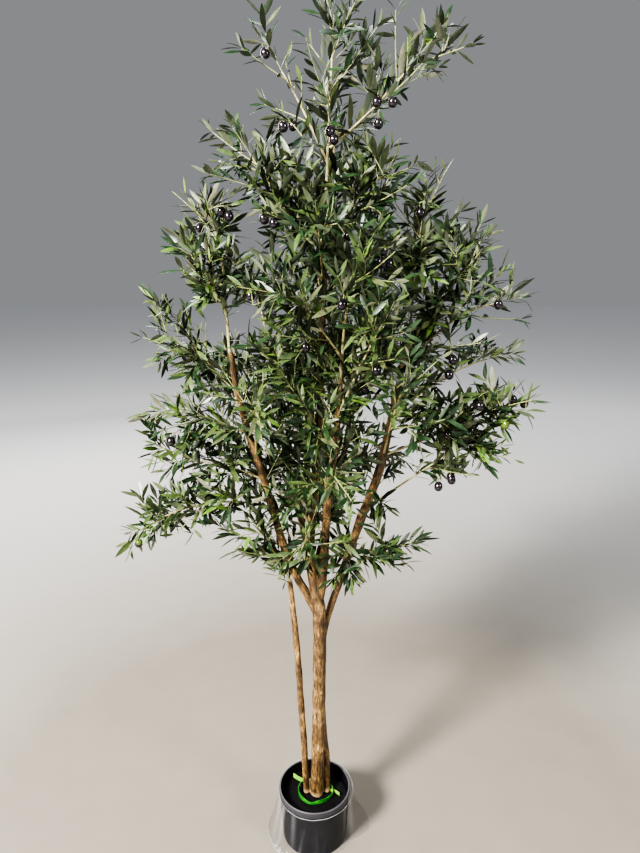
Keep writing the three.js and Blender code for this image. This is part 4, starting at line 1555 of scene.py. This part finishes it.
def makeFilm():
    top = film["profile"][0][0]
    rows = filmRows()
    outline = [(pot["lipRadius"] + off, height) for height, off, _ in rows]
    piece = turned("film_wrapper", outline, film["steps"])
    heights = np.array([row[0] for row in rows])
    dice = random.Random(21)
    creases = []  # each one's angle, width, tilt and strength
    for _ in range(film["creases"]):
        spans = ((0, fullTurn), (0.02, 0.06), (-0.25, 0.25), (0, 1))
        creases.append([dice.uniform(*span) for span in spans])
    # each point's painted highlight: lines along the edges, glints on the crumples, streaks on the creases,
    # sheen bands
    highlightMarks = []

    def creased(x, y, z):
        angle = math.atan2(y, x)
        ring = Vector((math.cos(angle), math.sin(angle), 0))
        rise = z / top
        share = rows[np.abs(heights - z).argmin()][2]
        crease = 0
        for turn, width, tilt, strength in creases:
            crease += strength * bell(turnBetween(angle, turn + tilt * rise), width) * (1 - rise) ** 0.7
        fromCrumple = turnBetween(angle, film["crumpledAt"])
        wide, tall = film["crumpledSize"]
        crumpled = bell(fromCrumple, wide) * bell(z, tall)
        rough = abs(noiseAt(x / 5, y / 5, z / 5)) * 2
        outwards, upwards = (size * crumpled * rough for size in film["crumpledRise"])

        out = film["creaseRise"] * crease + film["crumple"] * abs(noiseAt(x / 11, y / 11, z / 16))
        out = out * (0.2 + 0.8 * share) + outwards
        wave = math.sin(angle * film["folds"]) + 0.5 * math.sin(angle * (film["folds"] + 4) + 1)
        swell = 1 + (share * hemReach(angle) + out) / pot["lipRadius"] + film["foldDepth"] * share * wave
        standOff = film["sway"] * rise * max(math.cos(angle), 0)
        ripple = film["ripple"] * max(0, noiseAt(x / 20, y / 20, 3)) * (1 - rise) ** 6 + upwards
        edge = film["ragged"] * noise.noise(ring * 3 + up) * rise**6
        lift = film["slant"] * rise * math.sin(angle) + ripple + edge

        broken = 0.5 + 0.9 * noise.noise(ring * 4 + up * 7)
        # painted highlights: a line along the upper edge, one along the hem, glints on the crumples and
        # streaks down the creases
        shines = [
            bell(top - z, film["line"]) * (0.6 + 0.45 * broken),
            bell(z, film["line"]) * (0.6 + 0.5 * max(broken - 0.35, 0)),
            crumpled * max(rough - 0.35, 0) * 1.6,
            0.6 * crease * bell(fromCrumple, 0.4),
            0.07 * crease,
        ]
        # and soft bands of painted sheen
        for turn, width, strength in film["sheens"]:
            shines.append(strength * bell(turnBetween(angle, turn), width) * rise**0.5)
        highlightMarks.append(min(1, max(shines)))
        return x * swell + standOff, y * swell, z + lift

    moveEach(piece, creased)
    store(piece, "filmCrease", "FLOAT", highlightMarks)
    applyModifier(piece, "SOLIDIFY", thickness=film["thick"] * mm, offset=1)
    finishPiece(piece, ["clear_film"], [filmLook()], 50)


def filmLook():
    board = Board("filmClear")
    waves = board.noise(board.place(), 45, 1.5)
    # a pale glossy layer over the clear one, mixed in by the painted highlight marks, paints the film's
    # highlights and sheen
    highlightLayer = {"baseColor": (0.74, 0.76, 0.78), "roughness": 0.16, "coatWeight": 0.25, "coatRoughness": 0.08}
    board.coat(**highlightLayer, normal=board.bump(waves, 0.004, 0.35))
    clear = board.add("BsdfTransparent", inputs={"Color": (0.955, 0.955, 0.96)})
    share = film["highlightLayer"] * board.stored("filmCrease", "Fac") ** 1.5
    solid = Sum(board, board.surface.outputs[0])
    mixed = board.add("MixShader", inputs={0: share, 1: clear, 2: solid})
    board.feed(board.output, {"Surface": mixed})
    return board.material


makeFilm()


# Floor, light and camera, in metres.
studio = {
    "floorSize": 40,
    "floorColour": (0.23, 0.205, 0.17),
    "farColour": (0.96, 0.97, 0.99),
    "worldColour": (0.80, 0.82, 0.85),
    "worldStrength": 0.29,
    "lightsAim": (0, 0, 1.1),
    "cameraPlace": (0.015, -1.49, 1.60),
    "cameraDip": 14.9,  # degrees
    "lens": 27.04,  # mm, for a sensor 36 mm tall
    "sensor": 36,
}
# Each light's place, size, power and colour.
lights = {
    "key": ((-2.6, -2.7, 3.5), 1.0, 890, (1, 0.97, 0.93)),
    "fill": ((2.4, -1.8, 2.6), 1.0, 75, (0.94, 0.97, 1)),
    "top": ((0.6, 0.9, 4.2), 1.2, 45, (1, 1, 1)),
    "behind": ((-1.6, 3.6, 3.0), 2.4, 110, (1, 0.98, 0.95)),
}


def floorLook():
    board = Board("floorPale")
    spots = board.place()
    dark = tuple(0.85 * value for value in studio["floorColour"])
    near = board.mix(board.noise(spots, 9, 6), studio["floorColour"], dark)
    fade = board.fade(board.lengthOf(spots) * 0.1, 0.1, 0.6)
    board.coat(baseColor=board.mix(fade, near, studio["farColour"]), roughness=0.8, specular=0.2)
    return board.material


def makeStudio():
    floor = added(bpy.ops.mesh.primitive_plane_add, size=studio["floorSize"])
    floor.name = "floor"
    floor.data.materials.append(floorLook())
    scene = bpy.context.scene
    scene.world = bpy.data.worlds.new("studio")
    scene.world.use_nodes = True
    background = scene.world.node_tree.nodes["Background"]
    background.inputs["Color"].default_value = (*studio["worldColour"], 1)
    background.inputs["Strength"].default_value = studio["worldStrength"]
    for name, (place, size, power, colour) in lights.items():
        light = added(bpy.ops.object.light_add, type="AREA", location=place)
        light.name = name
        light.data.shape = "DISK"
        light.data.size = size
        light.data.energy = power
        light.data.color = colour
        aim = Vector(studio["lightsAim"]) - Vector(place)
        light.rotation_euler = aim.to_track_quat("-Z", "Y").to_euler()
    camera = added(bpy.ops.object.camera_add, location=studio["cameraPlace"])
    camera.rotation_euler = (math.radians(90 - studio["cameraDip"]), 0, 0)
    camera.data.lens = studio["lens"]
    camera.data.sensor_width = studio["sensor"]
    scene.camera = camera
    scene.view_settings.view_transform = "AgX"
    scene.view_settings.look = "AgX - High Contrast"


makeStudio()
print("studio ready")
